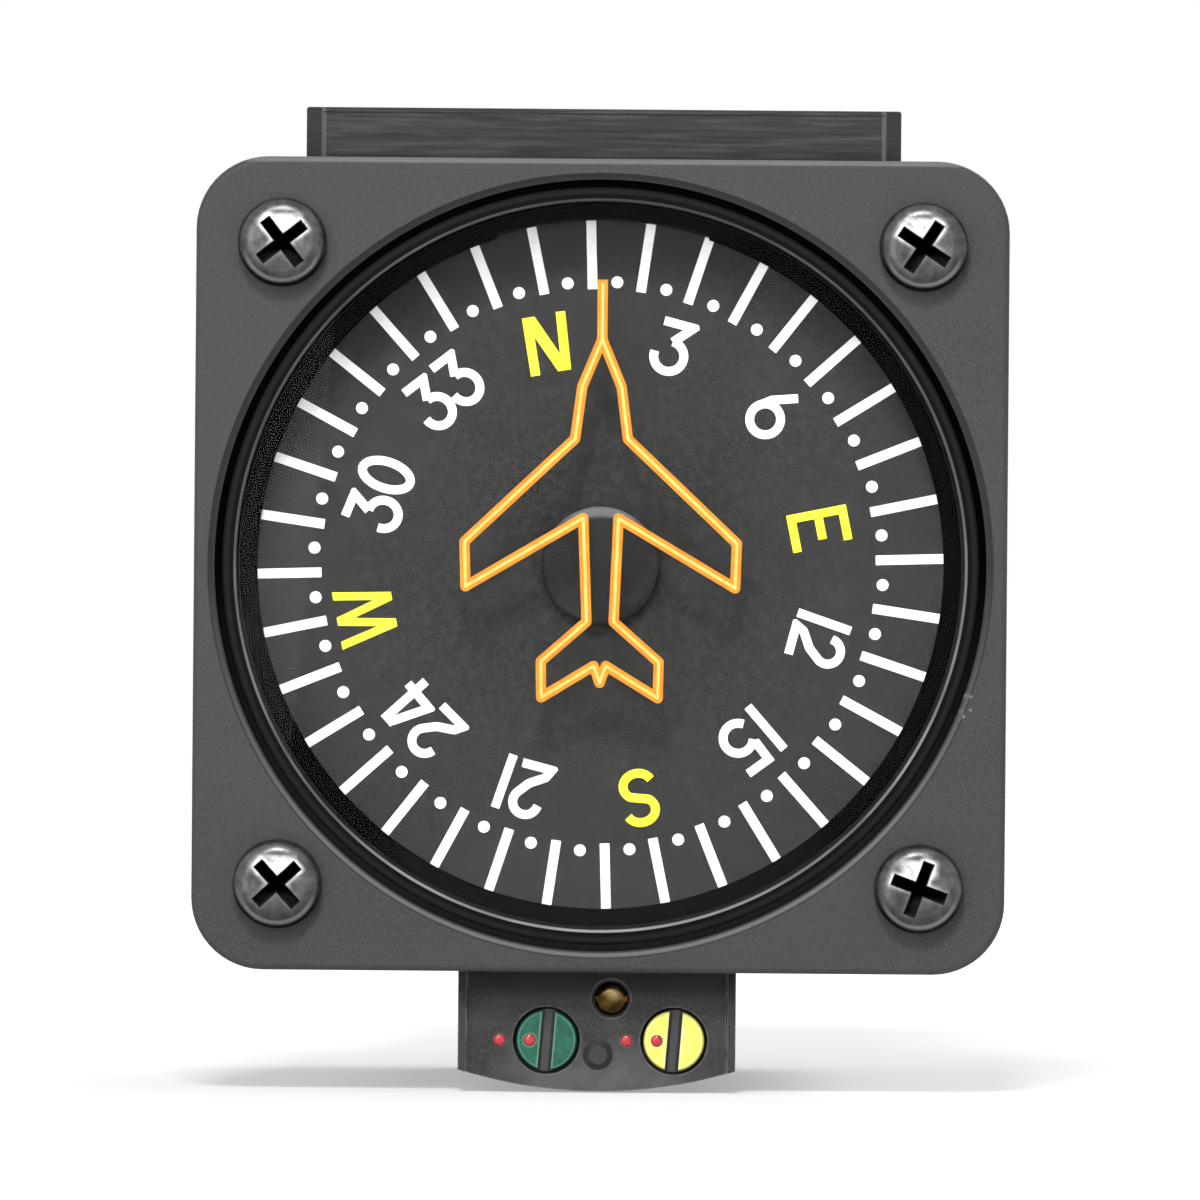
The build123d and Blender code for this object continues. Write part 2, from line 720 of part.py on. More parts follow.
# Lamp, lamp socket, leads and terminals
lamp_front = guide_rear + LAMP_GAP
lamp_base_front = lamp_front + LAMP_GLASS_L
lamp_rear = lamp_base_front + LAMP_BASE_L
socket_front = lamp_rear - SOCKET_OVERLAP
socket_rear = socket_front + SOCKET_L
with BuildPart() as lamp_bulb:
    with BuildSketch(Plane.XY.offset(lamp_z)):
        with BuildLine():
            dome = RadiusArc(
                (0, lamp_front),
                (LAMP_GLASS_R, lamp_front + LAMP_GLASS_R),
                LAMP_GLASS_R,
            )
            Polyline(
                dome @ 1,
                (LAMP_GLASS_R, lamp_base_front),
                (LAMP_BASE_R, lamp_base_front),
                (LAMP_BASE_R, lamp_rear),
                (0, lamp_rear),
                dome @ 0,
            )
        make_face()
    revolve(axis=Axis((0, 0, lamp_z), ALONG_Y))
save(lamp_bulb, "lamp_bulb")

with BuildPart() as lamp_socket:
    with BuildSketch(depth_plane(socket_front)):
        with Locations((0, lamp_z)):
            Rectangle(SOCKET_W, LAMP_BAY_H - 2 * FIT)
            Circle(LAMP_BASE_R + FIT, mode=Mode.SUBTRACT)
    extrude(amount=-SOCKET_OVERLAP)
    with BuildSketch(depth_plane(lamp_rear)):
        with Locations((0, lamp_z)):
            Rectangle(SOCKET_W, LAMP_BAY_H - 2 * FIT)
    extrude(amount=SOCKET_OVERLAP - SOCKET_L)
    side_edges = lamp_socket.edges().filter_by(Axis.Z).group_by(Axis.Y)[-1]
    chamfer(side_edges, SOCKET_EDGE)
save(lamp_socket, "lamp_socket")

terminal_inner = cover_seat - TERMINAL_INNER_L
terminal_block_rear = cover_rear + TERMINAL_BLOCK_T
terminal_tip = terminal_block_rear + TERMINAL_OUTER_L
terminal_spots = [(side * TERMINAL_SPACING / 2, lamp_z) for side in (-1, 1)]


def bend_radii(points):
    """The largest soft bend at each inner point of a route."""
    radii = []
    for before, at, after in zip(points, points[1:], points[2:]):
        first = Vector(*at) - Vector(*before)
        second = Vector(*after) - Vector(*at)
        half_turn = radians(first.get_angle(second)) / 2
        radii.append(0.45 * min(first.length, second.length) / tan(half_turn))
    return radii


with BuildPart() as lamp_leads:
    lead_l = terminal_inner - socket_rear
    for side in (-1, 1):
        start_x = side * LEAD_SPREAD
        end_x = side * TERMINAL_SPACING / 2
        route = [
            (start_x, socket_rear, lamp_z),
            (start_x, socket_rear + 0.2 * lead_l, lamp_z),
            (end_x + side * LEAD_BOW, socket_rear + 0.5 * lead_l, lamp_z),
            (end_x, socket_rear + 0.8 * lead_l, lamp_z),
            (end_x, terminal_inner, lamp_z),
        ]
        with BuildLine():
            lead_path = FilletPolyline(*route, radius=bend_radii(route))
        with BuildSketch(Plane(origin=route[0], z_dir=ALONG_Y)):
            Circle(LEAD_R)
        sweep(path=lead_path)
save(lamp_leads, "lamp_leads")

with BuildPart() as terminal_block:
    with BuildSketch(depth_plane(cover_rear)):
        with Locations((0, lamp_z)):
            Rectangle(TERMINAL_BLOCK_W, TERMINAL_BLOCK_H)
    extrude(amount=-TERMINAL_BLOCK_T)
    with BuildSketch(depth_plane(terminal_block_rear)):
        for rib_x in (-TERMINAL_SPACING, 0, TERMINAL_SPACING):
            with Locations((rib_x, lamp_z)):
                Rectangle(TERMINAL_RIB_W, TERMINAL_BLOCK_H)
    extrude(amount=-TERMINAL_RIB_H)
    with BuildSketch(depth_plane(cover_rear)):
        with Locations(*terminal_spots):
            Circle(TERMINAL_R + THREAD_GAP)
    extrude(amount=-TERMINAL_BLOCK_T, mode=Mode.SUBTRACT)
save(terminal_block, "terminal_block")

with BuildPart() as lamp_terminals:
    for terminal_x, terminal_z in terminal_spots:
        add(rod(TERMINAL_R, terminal_inner, terminal_tip, (terminal_x, 0, terminal_z)))
    for nut_y in (cover_seat - TERMINAL_NUT_T, terminal_block_rear):
        nut_spots = [
            Plane(origin=(x, nut_y, z), x_dir=(0, 0, 1), z_dir=ALONG_Y) for x, z in terminal_spots
        ]
        with Locations(*nut_spots):
            add(hex_nut(TERMINAL_NUT_R, TERMINAL_NUT_T, TERMINAL_R))
save(lamp_terminals, "lamp_terminals")

# Rear gasket, rear cover and its screws
with BuildPart() as rear_cover_gasket:
    with BuildSketch(depth_plane(CASE_DEPTH)):
        add(case_outline())
        with Locations((0, (cavity_top + cavity_bottom) / 2)):
            Rectangle(2 * cavity_half, cavity_top - cavity_bottom, mode=Mode.SUBTRACT)
        with Locations((0, (lamp_floor + case_top) / 2)):
            Rectangle(2 * cavity_half, case_top - lamp_floor, mode=Mode.SUBTRACT)
        with Locations(*rear_spots):
            Circle(BOSS_R)
            Circle(REAR_SCREW_R + HOLE_GAP, mode=Mode.SUBTRACT)
    extrude(amount=-REAR_GASKET_T)
save(rear_cover_gasket, "rear_cover_gasket")

rear_panel_low = case_bottom + REAR_PANEL_MARGIN
rear_panel_top = lamp_floor - REAR_PANEL_MARGIN
with BuildPart() as rear_cover:
    with BuildSketch(depth_plane(cover_seat)):
        add(case_outline())
    extrude(amount=-REAR_COVER_T)
    fillet(rear_cover.faces().sort_by(Axis.Y)[-1].edges(), REAR_EDGE_R)
    with BuildSketch(depth_plane(cover_rear)):
        with Locations((0, (rear_panel_low + rear_panel_top) / 2)):
            RectangleRounded(
                2 * (box_half - REAR_PANEL_MARGIN),
                rear_panel_top - rear_panel_low,
                CASE_CORNER_R,
            )
    extrude(amount=-REAR_PANEL_T)
    fillet(rear_cover.faces().sort_by(Axis.Y)[-1].edges(), 0.6 * REAR_PANEL_T)
    with BuildSketch(depth_plane(cover_seat)):
        with Locations(*rear_spots):
            Circle(REAR_SCREW_R + HOLE_GAP)
        with Locations(*terminal_spots):
            Circle(TERMINAL_R + HOLE_GAP)
    extrude(amount=-REAR_COVER_T, mode=Mode.SUBTRACT)
save(rear_cover, "rear_cover")

rear_screw_planes = [
    Plane(origin=(x, cover_rear, z), x_dir=(1, 0, 0), z_dir=ALONG_Y) for x, z in rear_spots
]
with BuildPart() as rear_cover_screws:
    with Locations(*rear_screw_planes):
        add(slotted_screw(REAR_HEAD_R, REAR_HEAD_H, REAR_SCREW_R, REAR_SCREW_L, REAR_HEAD_ROUND))
save(rear_cover_screws, "rear_cover_screws")

# Movement: places that follow from the bevel pair, whose apex is where the two shafts cross, and from the
# floor of the cavity. The magnet fills the height that is left between them.
cup_inner_r = MAGNET_R + CUP_GAP
cup_outer_r = cup_inner_r + CUP_WALL
plate_rear = partition_rear + PLATE_T
magnet_y = (plate_rear + CASE_DEPTH) / 2 - MAGNET_FORWARD
miter_back = bevel_back(MITER_MODULE, MITER_TEETH, MITER_TEETH, MITER_RIM)
miter_front = bevel_front(MITER_MODULE, MITER_TEETH, MITER_TEETH, MITER_FACE)
miter_hub_end = miter_back + MITER_HUB_L
magnet_top = -miter_hub_end - MAGNET_DROP
low_arm_z = cavity_bottom + JEWEL_FLOOR_GAP + JEWEL_STAND + NUT_T
cup_low = low_arm_z + ARM_T
cup_floor = cup_low + CUP_FLOOR_T
magnet_low = cup_floor + CUP_FLOOR_GAP
tube_front = partition_rear - TUBE_NOSE
tube_rear = magnet_y - miter_hub_end - END_PLAY
apex = (0, magnet_y, 0)
magnet_axis = (0, magnet_y, 0)
top_screw_end = TOP_ARM_Z - JEWEL_STAND
low_screw_end = cup_floor + JEWEL_STAND

with BuildPart() as movement_frame:
    with BuildSketch(depth_plane(partition_rear)):
        with Locations((0, (low_arm_z + TOP_ARM_Z + ARM_T) / 2)):
            RectangleRounded(2 * PLATE_HALF_W, TOP_ARM_Z + ARM_T - low_arm_z, PLATE_CORNER_R)
    extrude(amount=-PLATE_T)
    for arm_z in (low_arm_z, TOP_ARM_Z):
        with BuildSketch(Plane.XY.offset(arm_z)):
            with Locations((0, (partition_rear + magnet_y) / 2)):
                Rectangle(2 * ARM_HALF_W, magnet_y - partition_rear)
            with Locations((0, magnet_y)):
                Circle(ARM_HALF_W)
        extrude(amount=ARM_T)
    for corner_z, rise in ((cup_low, GUSSET), (TOP_ARM_Z, -GUSSET)):
        gusset_corners = [
            (plate_rear, corner_z),
            (plate_rear + GUSSET, corner_z),
            (plate_rear, corner_z + rise),
        ]
        with BuildSketch(Plane.YZ):
            Polygon(*gusset_corners, align=None)
        extrude(amount=GUSSET_W / 2, both=True)
    add(rod(TUBE_R, tube_front, tube_rear))
    add(rod(BUSH_R, tube_front, tube_rear), mode=Mode.SUBTRACT)
    jewel_hole = rod(JEWEL_SCREW_R + THREAD_GAP, low_arm_z, TOP_ARM_Z + ARM_T, magnet_axis, ALONG_Z)
    add(jewel_hole, mode=Mode.SUBTRACT)
    with BuildSketch(depth_plane(partition_rear)):
        with Locations(*movement_spots):
            Circle(MOVEMENT_SCREW_R + HOLE_GAP)
    extrude(amount=-PLATE_T, mode=Mode.SUBTRACT)
save(movement_frame, "movement_frame")

movement_screw_planes = [
    Plane(origin=(x, plate_rear, z), x_dir=(1, 0, 0), z_dir=ALONG_Y) for x, z in movement_spots
]
with BuildPart() as movement_screws:
    with Locations(*movement_screw_planes):
        add(
            slotted_screw(
                MOVEMENT_HEAD_R,
                MOVEMENT_HEAD_H,
                MOVEMENT_SCREW_R,
                MOVEMENT_SCREW_L,
                0.3 * MOVEMENT_HEAD_H,
            )
        )
save(movement_screws, "movement_screws")

bush_outer_r = BUSH_R - PRESS_GAP
bush_bore_r = SHAFT_R + RUNNING_GAP
with BuildPart() as card_front_bush:
    add(rod(bush_outer_r, tube_front, tube_front + BUSH_L, bore=bush_bore_r))
save(card_front_bush, "card_front_bush")

with BuildPart() as card_rear_bush:
    add(rod(bush_outer_r, tube_rear - BUSH_L, tube_rear, bore=bush_bore_r))
save(card_rear_bush, "card_rear_bush")

# Dial rotor: card, hub, cap, shaft and bevel gear
pressed_bore_r = SHAFT_R + PRESS_GAP
hub_rear = tube_front - END_PLAY
spigot_front = dial_front - SPIGOT_L
with BuildPart() as compass_card:
    add(rod(DIAL_R, dial_front, dial_rear, bore=SPIGOT_R + PRESS_GAP))
save(compass_card, "compass_card")

with BuildPart() as card_hub:
    hub_profile = [
        (pressed_bore_r, spigot_front),
        (SPIGOT_R, spigot_front),
        (SPIGOT_R, dial_rear),
        (HUB_R, dial_rear),
        (HUB_R, hub_rear),
        (pressed_bore_r, hub_rear),
    ]
    add(turned(hub_profile))
save(card_hub, "card_hub")

with BuildPart() as card_cap:
    add(rod(CAP_R, dial_front - CAP_H, dial_front))
    fillet(card_cap.edges().group_by(Axis.Y)[0], CAP_ROUND)
    add(rod(SPIGOT_R + THREAD_GAP, spigot_front, dial_front), mode=Mode.SUBTRACT)
save(card_cap, "card_cap")

with BuildPart() as card_shaft:
    add(rod(SHAFT_R, spigot_front, magnet_y - miter_front + SHAFT_STUB))
    chamfer(card_shaft.edges().group_by(Axis.Y)[-1], 0.25 * SHAFT_R)
save(card_shaft, "card_shaft")

card_gear_plane = Plane(origin=apex, x_dir=(0, 0, -1), z_dir=(0, -1, 0))
with BuildPart() as card_gear:
    with Locations(card_gear_plane):
        add(
            bevel_gear(
                MITER_MODULE,
                MITER_TEETH,
                MITER_TEETH,
                MITER_FACE,
                MITER_RIM,
                MITER_HUB_R,
                MITER_HUB_L,
                pressed_bore_r,
                tooth_on_x=True,
            )
        )
save(card_gear, "card_gear")

# Magnet rotor: shaft with two pivots, bevel gear, magnet and its carrier
magnet_gear_plane = Plane(origin=apex, x_dir=(0, -1, 0), z_dir=(0, 0, -1))
with BuildPart() as magnet_gear:
    with Locations(magnet_gear_plane):
        add(
            bevel_gear(
                MITER_MODULE,
                MITER_TEETH,
                MITER_TEETH,
                MITER_FACE,
                MITER_RIM,
                MITER_HUB_R,
                MITER_HUB_L,
                pressed_bore_r,
                tooth_on_x=False,
            )
        )
save(magnet_gear, "magnet_gear")

pivot_top = top_screw_end + JEWEL_CUP_DEPTH - FIT
pivot_low = low_screw_end - JEWEL_CUP_DEPTH + FIT
with BuildPart() as magnet_shaft:
    shaft_profile = [
        (0, pivot_low),
        (SHAFT_R, pivot_low + PIVOT_H),
        (SHAFT_R, pivot_top - PIVOT_H),
        (0, pivot_top),
    ]
    add(turned(shaft_profile, magnet_axis, ALONG_Z))
save(magnet_shaft, "magnet_shaft")

with BuildPart() as compass_magnet:
    add(rod(MAGNET_R, magnet_low, magnet_top, magnet_axis, ALONG_Z, bore=CARRIER_R + PRESS_GAP))
    circles = compass_magnet.edges().filter_by(GeomType.CIRCLE)
    chamfer(circles.filter_by(lambda circle: circle.radius > CARRIER_R + FIT), MAGNET_EDGE)
save(compass_magnet, "compass_magnet")

with BuildPart() as magnet_carrier:
    flange_top = magnet_top + CARRIER_FLANGE_T
    collar_top = flange_top + CARRIER_COLLAR_L
    carrier_profile = [
        (pressed_bore_r, magnet_low),
        (CARRIER_R, magnet_low),
        (CARRIER_R, magnet_top),
        (CARRIER_FLANGE_R, magnet_top),
        (CARRIER_FLANGE_R, flange_top),
        (CARRIER_R, flange_top),
        (CARRIER_R, collar_top),
        (pressed_bore_r, collar_top),
    ]
    add(turned(carrier_profile, magnet_axis, ALONG_Z))
save(magnet_carrier, "magnet_carrier")

with BuildPart() as damping_cup:
    cup_rim = magnet_top + CUP_RIM_RISE
    screw_pass_r = JEWEL_SCREW_R + HOLE_GAP
    cup_profile = [
        (screw_pass_r, cup_low),
        (cup_outer_r, cup_low),
        (cup_outer_r, cup_rim),
        (cup_inner_r, cup_rim),
        (cup_inner_r, cup_floor),
        (screw_pass_r, cup_floor),
    ]
    add(turned(cup_profile, magnet_axis, ALONG_Z))
    cup_circles = damping_cup.edges().filter_by(GeomType.CIRCLE).group_by(Axis.Z)[0]
    fillet(cup_circles.sort_by(SortBy.RADIUS)[-1], CUP_EDGE_R)
save(damping_cup, "damping_cup")


def jewel_screw(length):
    """A jewel screw along Z: its conical jewel cup is at 0 and opens upwards, its slotted end is below."""
    profile = [
        (0, -JEWEL_CUP_DEPTH),
        (JEWEL_CUP_R, 0),
        (JEWEL_SCREW_R, 0),
        (JEWEL_SCREW_R, -length),
        (0, -length),
    ]
    with BuildPart() as screw:
        add(turned(profile, ORIGIN, ALONG_Z))
        with BuildSketch(Plane.XY.offset(-length)):
            Rectangle(3 * JEWEL_SCREW_R, SLOT_W)
        extrude(amount=SLOT_DEPTH, mode=Mode.SUBTRACT)
    return screw.part


top_screw_l = JEWEL_STAND + ARM_T + NUT_T + JEWEL_STAND
low_screw_l = JEWEL_STAND + CUP_FLOOR_T + ARM_T + NUT_T + JEWEL_STAND
with BuildPart() as top_jewel_screw:
    with Locations(Plane(origin=(0, magnet_y, top_screw_end), x_dir=(1, 0, 0), z_dir=(0, 0, -1))):
        add(jewel_screw(top_screw_l))
save(top_jewel_screw, "top_jewel_screw")

with BuildPart() as bottom_jewel_screw:
    with Locations((0, magnet_y, low_screw_end)):
        add(jewel_screw(low_screw_l))
save(bottom_jewel_screw, "bottom_jewel_screw")

with BuildPart() as jewel_lock_nuts:
    with Locations((0, magnet_y, TOP_ARM_Z + ARM_T), (0, magnet_y, low_arm_z - NUT_T)):
        add(hex_nut(NUT_R, NUT_T, JEWEL_SCREW_R + THREAD_GAP))
save(jewel_lock_nuts, "jewel_lock_nuts")

# Panel screws with cross recesses
neck_end = flange_front
with BuildPart() as panel_screw:
    with BuildSketch():
        Circle(SCREW_HEAD_R)
    extrude(amount=SCREW_HEAD_H)
    fillet(panel_screw.edges().group_by(Axis.Z)[-1], SCREW_HEAD_ROUND)
    with BuildSketch(Plane.XY.offset(SCREW_HEAD_H)):
        Rectangle(CROSS_SPAN, CROSS_W)
        Rectangle(CROSS_W, CROSS_SPAN)
    extrude(amount=-CROSS_DEPTH, taper=CROSS_TAPER, mode=Mode.SUBTRACT)
    add(rod(SCREW_NECK_R, 0, neck_end, ORIGIN, ALONG_Z))
    thread_profile = [
        (0, neck_end),
        (SCREW_THREAD_R, neck_end),
        (SCREW_THREAD_R, SCREW_POINT - SCREW_LENGTH),
        (SCREW_THREAD_R - SCREW_POINT, -SCREW_LENGTH),
        (0, -SCREW_LENGTH),
    ]
    add(turned(thread_profile, ORIGIN, ALONG_Z))
flange_screw_planes = []
for (screw_x, screw_z), turn in zip(screw_spots, SCREW_TURNS):
    across = (cos(radians(turn)), 0, sin(radians(turn)))
    flange_screw_planes.append(Plane((screw_x, flange_front, screw_z), x_dir=across, z_dir=(0, -1, 0)))
with BuildPart() as flange_screws:
    with Locations(*flange_screw_planes):
        add(panel_screw.part)
save(flange_screws, "flange_screws")

# Compensator housing: a channel with a curved bottom, hung under the case
block_low = seat_z - BLOCK_SIDE_H - BLOCK_SAG
block_arc_r = (BLOCK_HALF_W**2 + BLOCK_SAG**2) / (2 * BLOCK_SAG)
block_inner_half = BLOCK_HALF_W - BLOCK_CHEEK
face_rear = FACE_FRONT + FACE_T
housing_front = face_rear + FIT
gear_plate_z = seat_z - GEAR_PLATE_T
inner_rear = block_rear - BLOCK_REAR_WALL
unit_head_z = block_low + UNIT_HEAD_SINK


def block_section(half_w, top_z, inset):
    """The compensator's cross-section: straight sides over a bottom arc that lies inset from the outside."""
    arc_r = block_arc_r - inset
    centre_z = block_low + block_arc_r
    side_z = centre_z - sqrt(arc_r**2 - half_w**2)
    low_z = centre_z - arc_r
    with BuildSketch() as section:
        with BuildLine():
            ThreePointArc(
                (BLOCK_X - half_w, side_z),
                (BLOCK_X, low_z),
                (BLOCK_X + half_w, side_z),
            )
            Polyline(
                (BLOCK_X + half_w, side_z),
                (BLOCK_X + half_w, top_z),
                (BLOCK_X - half_w, top_z),
                (BLOCK_X - half_w, side_z),
            )
        make_face()
    return section.sketch


inner_x = (BLOCK_X - block_inner_half, BLOCK_X + block_inner_half)
rivet_z = seat_z - RIVET_DROP
rivet_lug_top = rivet_z + RIVET_R + RIVET_LUG_MARGIN
rivet_lug_rear = FACE_FRONT + RIVET_LENGTH + FIT + RIVET_LUG_MARGIN
with BuildPart() as compensator_housing:
    with BuildSketch(depth_plane(CHEEK_FRONT)):
        add(block_section(BLOCK_HALF_W, seat_z, 0))
    extrude(amount=CHEEK_FRONT - block_rear)
    open_z = (block_low - BLOCK_FLOOR, seat_z)
    add(block(inner_x, (CHEEK_FRONT, housing_front), open_z), mode=Mode.SUBTRACT)
    with BuildSketch(depth_plane(housing_front)):
        add(block_section(block_inner_half, seat_z, BLOCK_FLOOR))
    extrude(amount=housing_front - inner_rear, mode=Mode.SUBTRACT)
    # Screw bosses, and a lug behind the rivet
    with BuildSketch(Plane.XY.offset(block_low + BLOCK_FLOOR / 2)):
        with Locations(*unit_spots):
            Circle(unit_boss_r)
    extrude(amount=gear_plate_z - block_low - BLOCK_FLOOR / 2)
    lug_x = (RIVET_X - RIVET_LUG_W / 2, RIVET_X + RIVET_LUG_W / 2)
    add(block(lug_x, (housing_front, rivet_lug_rear), (block_low + BLOCK_FLOOR / 2, rivet_lug_top)))
    with BuildSketch(Plane.XY.offset(block_low - FIT)):
        with Locations(*unit_spots):
            Circle(UNIT_HEAD_R + FIT)
    extrude(amount=UNIT_HEAD_SINK + FIT, mode=Mode.SUBTRACT)
    with BuildSketch(Plane.XY.offset(unit_head_z)):
        with Locations(*unit_spots):
            Circle(UNIT_SCREW_R + HOLE_GAP)
    extrude(amount=gear_plate_z - unit_head_z, mode=Mode.SUBTRACT)
    rivet_hole = rod(RIVET_R + PRESS_GAP, FACE_FRONT, FACE_FRONT + RIVET_LENGTH + FIT, (RIVET_X, 0, rivet_z))
    add(rivet_hole, mode=Mode.SUBTRACT)
save(compensator_housing, "compensator_housing")

# Front plate with the counterbores of the two adjusters
adjuster_xs = {"green": GREEN_X, "yellow": BLOCK_X + BLOCK_HALF_W - YELLOW_INSET}
head_front = FACE_FRONT + ADJUSTER_SINK
head_rear = head_front + ADJUSTER_HEAD_T
washer_front = head_rear + FIT
washer_rear = washer_front + WASHER_T
brass_z = seat_z - BRASS_DROP
brass_seat = FACE_FRONT + BRASS_SINK
adjuster_bore_r = ADJUSTER_SHAFT_R + RUNNING_GAP
with BuildPart() as compensator_front_plate:
    with BuildSketch(depth_plane(FACE_FRONT)):
        add(block_section(block_inner_half - FIT, seat_z, 0))
    extrude(amount=-FACE_T)
    for adjuster_x in adjuster_xs.values():
        spot = (adjuster_x, 0, adjuster_z)
        add(rod(ADJUSTER_HEAD_R + HOLE_GAP, FACE_FRONT, washer_rear, spot), mode=Mode.SUBTRACT)
        add(rod(adjuster_bore_r, washer_rear, face_rear, spot), mode=Mode.SUBTRACT)
        dot_spot = (adjuster_x - FACE_DOT_OFFSET, 0, adjuster_z)
        add(rod(DOT_R, FACE_FRONT, FACE_FRONT + DOT_DEPTH, dot_spot), mode=Mode.SUBTRACT)
    brass_axis = (BRASS_X, 0, brass_z)
    add(rod(BRASS_HEAD_R + HOLE_GAP, FACE_FRONT, brass_seat, brass_axis), mode=Mode.SUBTRACT)
    add(rod(BRASS_SHANK_R + HOLE_GAP, brass_seat, face_rear, brass_axis), mode=Mode.SUBTRACT)
    add(rod(RIVET_R + PRESS_GAP, FACE_FRONT, face_rear, (RIVET_X, 0, rivet_z)), mode=Mode.SUBTRACT)
save(compensator_front_plate, "compensator_front_plate")

with BuildPart() as compensator_rivet:
    rivet_profile = [
        (0, FACE_FRONT - RIVET_HEAD_T),
        (RIVET_R, FACE_FRONT - RIVET_HEAD_T),
        (RIVET_HEAD_R, FACE_FRONT),
        (RIVET_R, FACE_FRONT),
        (RIVET_R, FACE_FRONT + RIVET_LENGTH),
        (0, FACE_FRONT + RIVET_LENGTH),
    ]
    add(turned(rivet_profile, (RIVET_X, 0, rivet_z)))
save(compensator_rivet, "compensator_rivet")

clamp_screw_plane = Plane(origin=(BRASS_X, brass_seat, brass_z), x_dir=(1, 0, 0), z_dir=(0, -1, 0))
with BuildPart() as compensator_clamp_screw:
    with Locations(clamp_screw_plane):
        add(
            slotted_screw(
                BRASS_HEAD_R,
                BRASS_HEAD_T,
                BRASS_SHANK_R,
                BRASS_LENGTH,
                0.9 * BRASS_HEAD_T,
                BRASS_SLOT_W,
                BRASS_SLOT_DEPTH,
            )
        )
save(compensator_clamp_screw, "compensator_clamp_screw")

# Gear plate under the case, with a lug for the clamp screw, and the posts of the four wheels
wheel_back = bevel_back(WHEEL_MODULE, WHEEL_TEETH, PINION_TEETH, WHEEL_RIM)
wheel_front = bevel_front(WHEEL_MODULE, WHEEL_TEETH, PINION_TEETH, WHEEL_FACE)
wheel_outer_r = bevel_outer_r(WHEEL_MODULE, WHEEL_TEETH, PINION_TEETH)
pinion_back = bevel_back(WHEEL_MODULE, PINION_TEETH, WHEEL_TEETH, PINION_RIM)
bearing_rear = unit_screw_rear - unit_boss_r - BEARING_TO_BOSS
bearing_front = bearing_rear - BEARING_PLATE_T
rear_wheel_y = bearing_front - BEARING_PLATE_GAP - wheel_outer_r
wheel_ys = {"front": rear_wheel_y - 2 * pinion_back, "rear": rear_wheel_y}
post_spots = [(x, y) for x in adjuster_xs.values() for y in wheel_ys.values()]
clamp_lug_low = brass_z - BRASS_SHANK_R - BRASS_LUG_MARGIN
clamp_lug_rear = brass_seat + BRASS_LENGTH + BRASS_LUG_MARGIN
with BuildPart() as compensator_gear_plate:
    plate_x = (inner_x[0] + FIT, inner_x[1] - FIT)
    add(block(plate_x, (housing_front, inner_rear - FIT), (gear_plate_z, seat_z)))
    lug_x = (BRASS_X - BRASS_LUG_W / 2, BRASS_X + BRASS_LUG_W / 2)
    add(block(lug_x, (housing_front, clamp_lug_rear), (clamp_lug_low, gear_plate_z)))
    clamp_hole = rod(BRASS_SHANK_R + THREAD_GAP, housing_front, brass_seat + BRASS_LENGTH + FIT, brass_axis)
    add(clamp_hole, mode=Mode.SUBTRACT)
    with BuildSketch(Plane.XY.offset(gear_plate_z)):
        with Locations(*unit_spots):
            Circle(UNIT_SCREW_R + HOLE_GAP)
        with Locations(*post_spots):
            Circle(POST_R + PRESS_GAP)
    extrude(amount=GEAR_PLATE_T, mode=Mode.SUBTRACT)
save(compensator_gear_plate, "compensator_gear_plate")

post_head_z = adjuster_z + wheel_front - FIT
with BuildPart() as compensator_posts:
    for post_x, post_y in post_spots:
        post_profile = [
            (0, post_head_z - POST_HEAD_T),
            (POST_HEAD_R, post_head_z - POST_HEAD_T),
            (POST_HEAD_R, post_head_z),
            (POST_R, post_head_z),
            (POST_R, seat_z - FIT),
            (0, seat_z - FIT),
        ]
        add(turned(post_profile, (post_x, post_y, 0), ALONG_Z))
save(compensator_posts, "compensator_posts")

with BuildPart() as compensator_bearing_plate:
    with BuildSketch(depth_plane(bearing_front)):
        add(block_section(block_inner_half - FIT, gear_plate_z, BLOCK_FLOOR + FIT))
    extrude(amount=-BEARING_PLATE_T)
    for adjuster_x in adjuster_xs.values():
        bearing = rod(adjuster_bore_r, bearing_front, bearing_rear, (adjuster_x, 0, adjuster_z))
        add(bearing, mode=Mode.SUBTRACT)
save(compensator_bearing_plate, "compensator_bearing_plate")

unit_screw_planes = [
    Plane(origin=(x, y, unit_head_z), x_dir=(1, 0, 0), z_dir=(0, 0, -1)) for x, y in unit_spots
]
with BuildPart() as compensator_screws:
    with Locations(*unit_screw_planes):
        add(
            slotted_screw(
                UNIT_HEAD_R,
                UNIT_HEAD_T,
                UNIT_SCREW_R,
                unit_screw_top - unit_head_z,
                0.3 * UNIT_HEAD_T,
            )
        )
save(compensator_screws, "compensator_screws")

with BuildPart() as adjuster_washers:
    for adjuster_x in adjuster_xs.values():
        spot = (adjuster_x, 0, adjuster_z)
        add(rod(WASHER_R, washer_front, washer_rear, spot, bore=ADJUSTER_SHAFT_R + HOLE_GAP))
save(adjuster_washers, "adjuster_washers")


def pinion(tooth_on_x):
    """One half of an adjuster's double pinion."""
    return bevel_gear(
        WHEEL_MODULE,
        PINION_TEETH,
        WHEEL_TEETH,
        WHEEL_FACE,
        PINION_RIM,
        hub_r=0,
        hub_l=0,
        bore_r=0,
        tooth_on_x=tooth_on_x,
    )


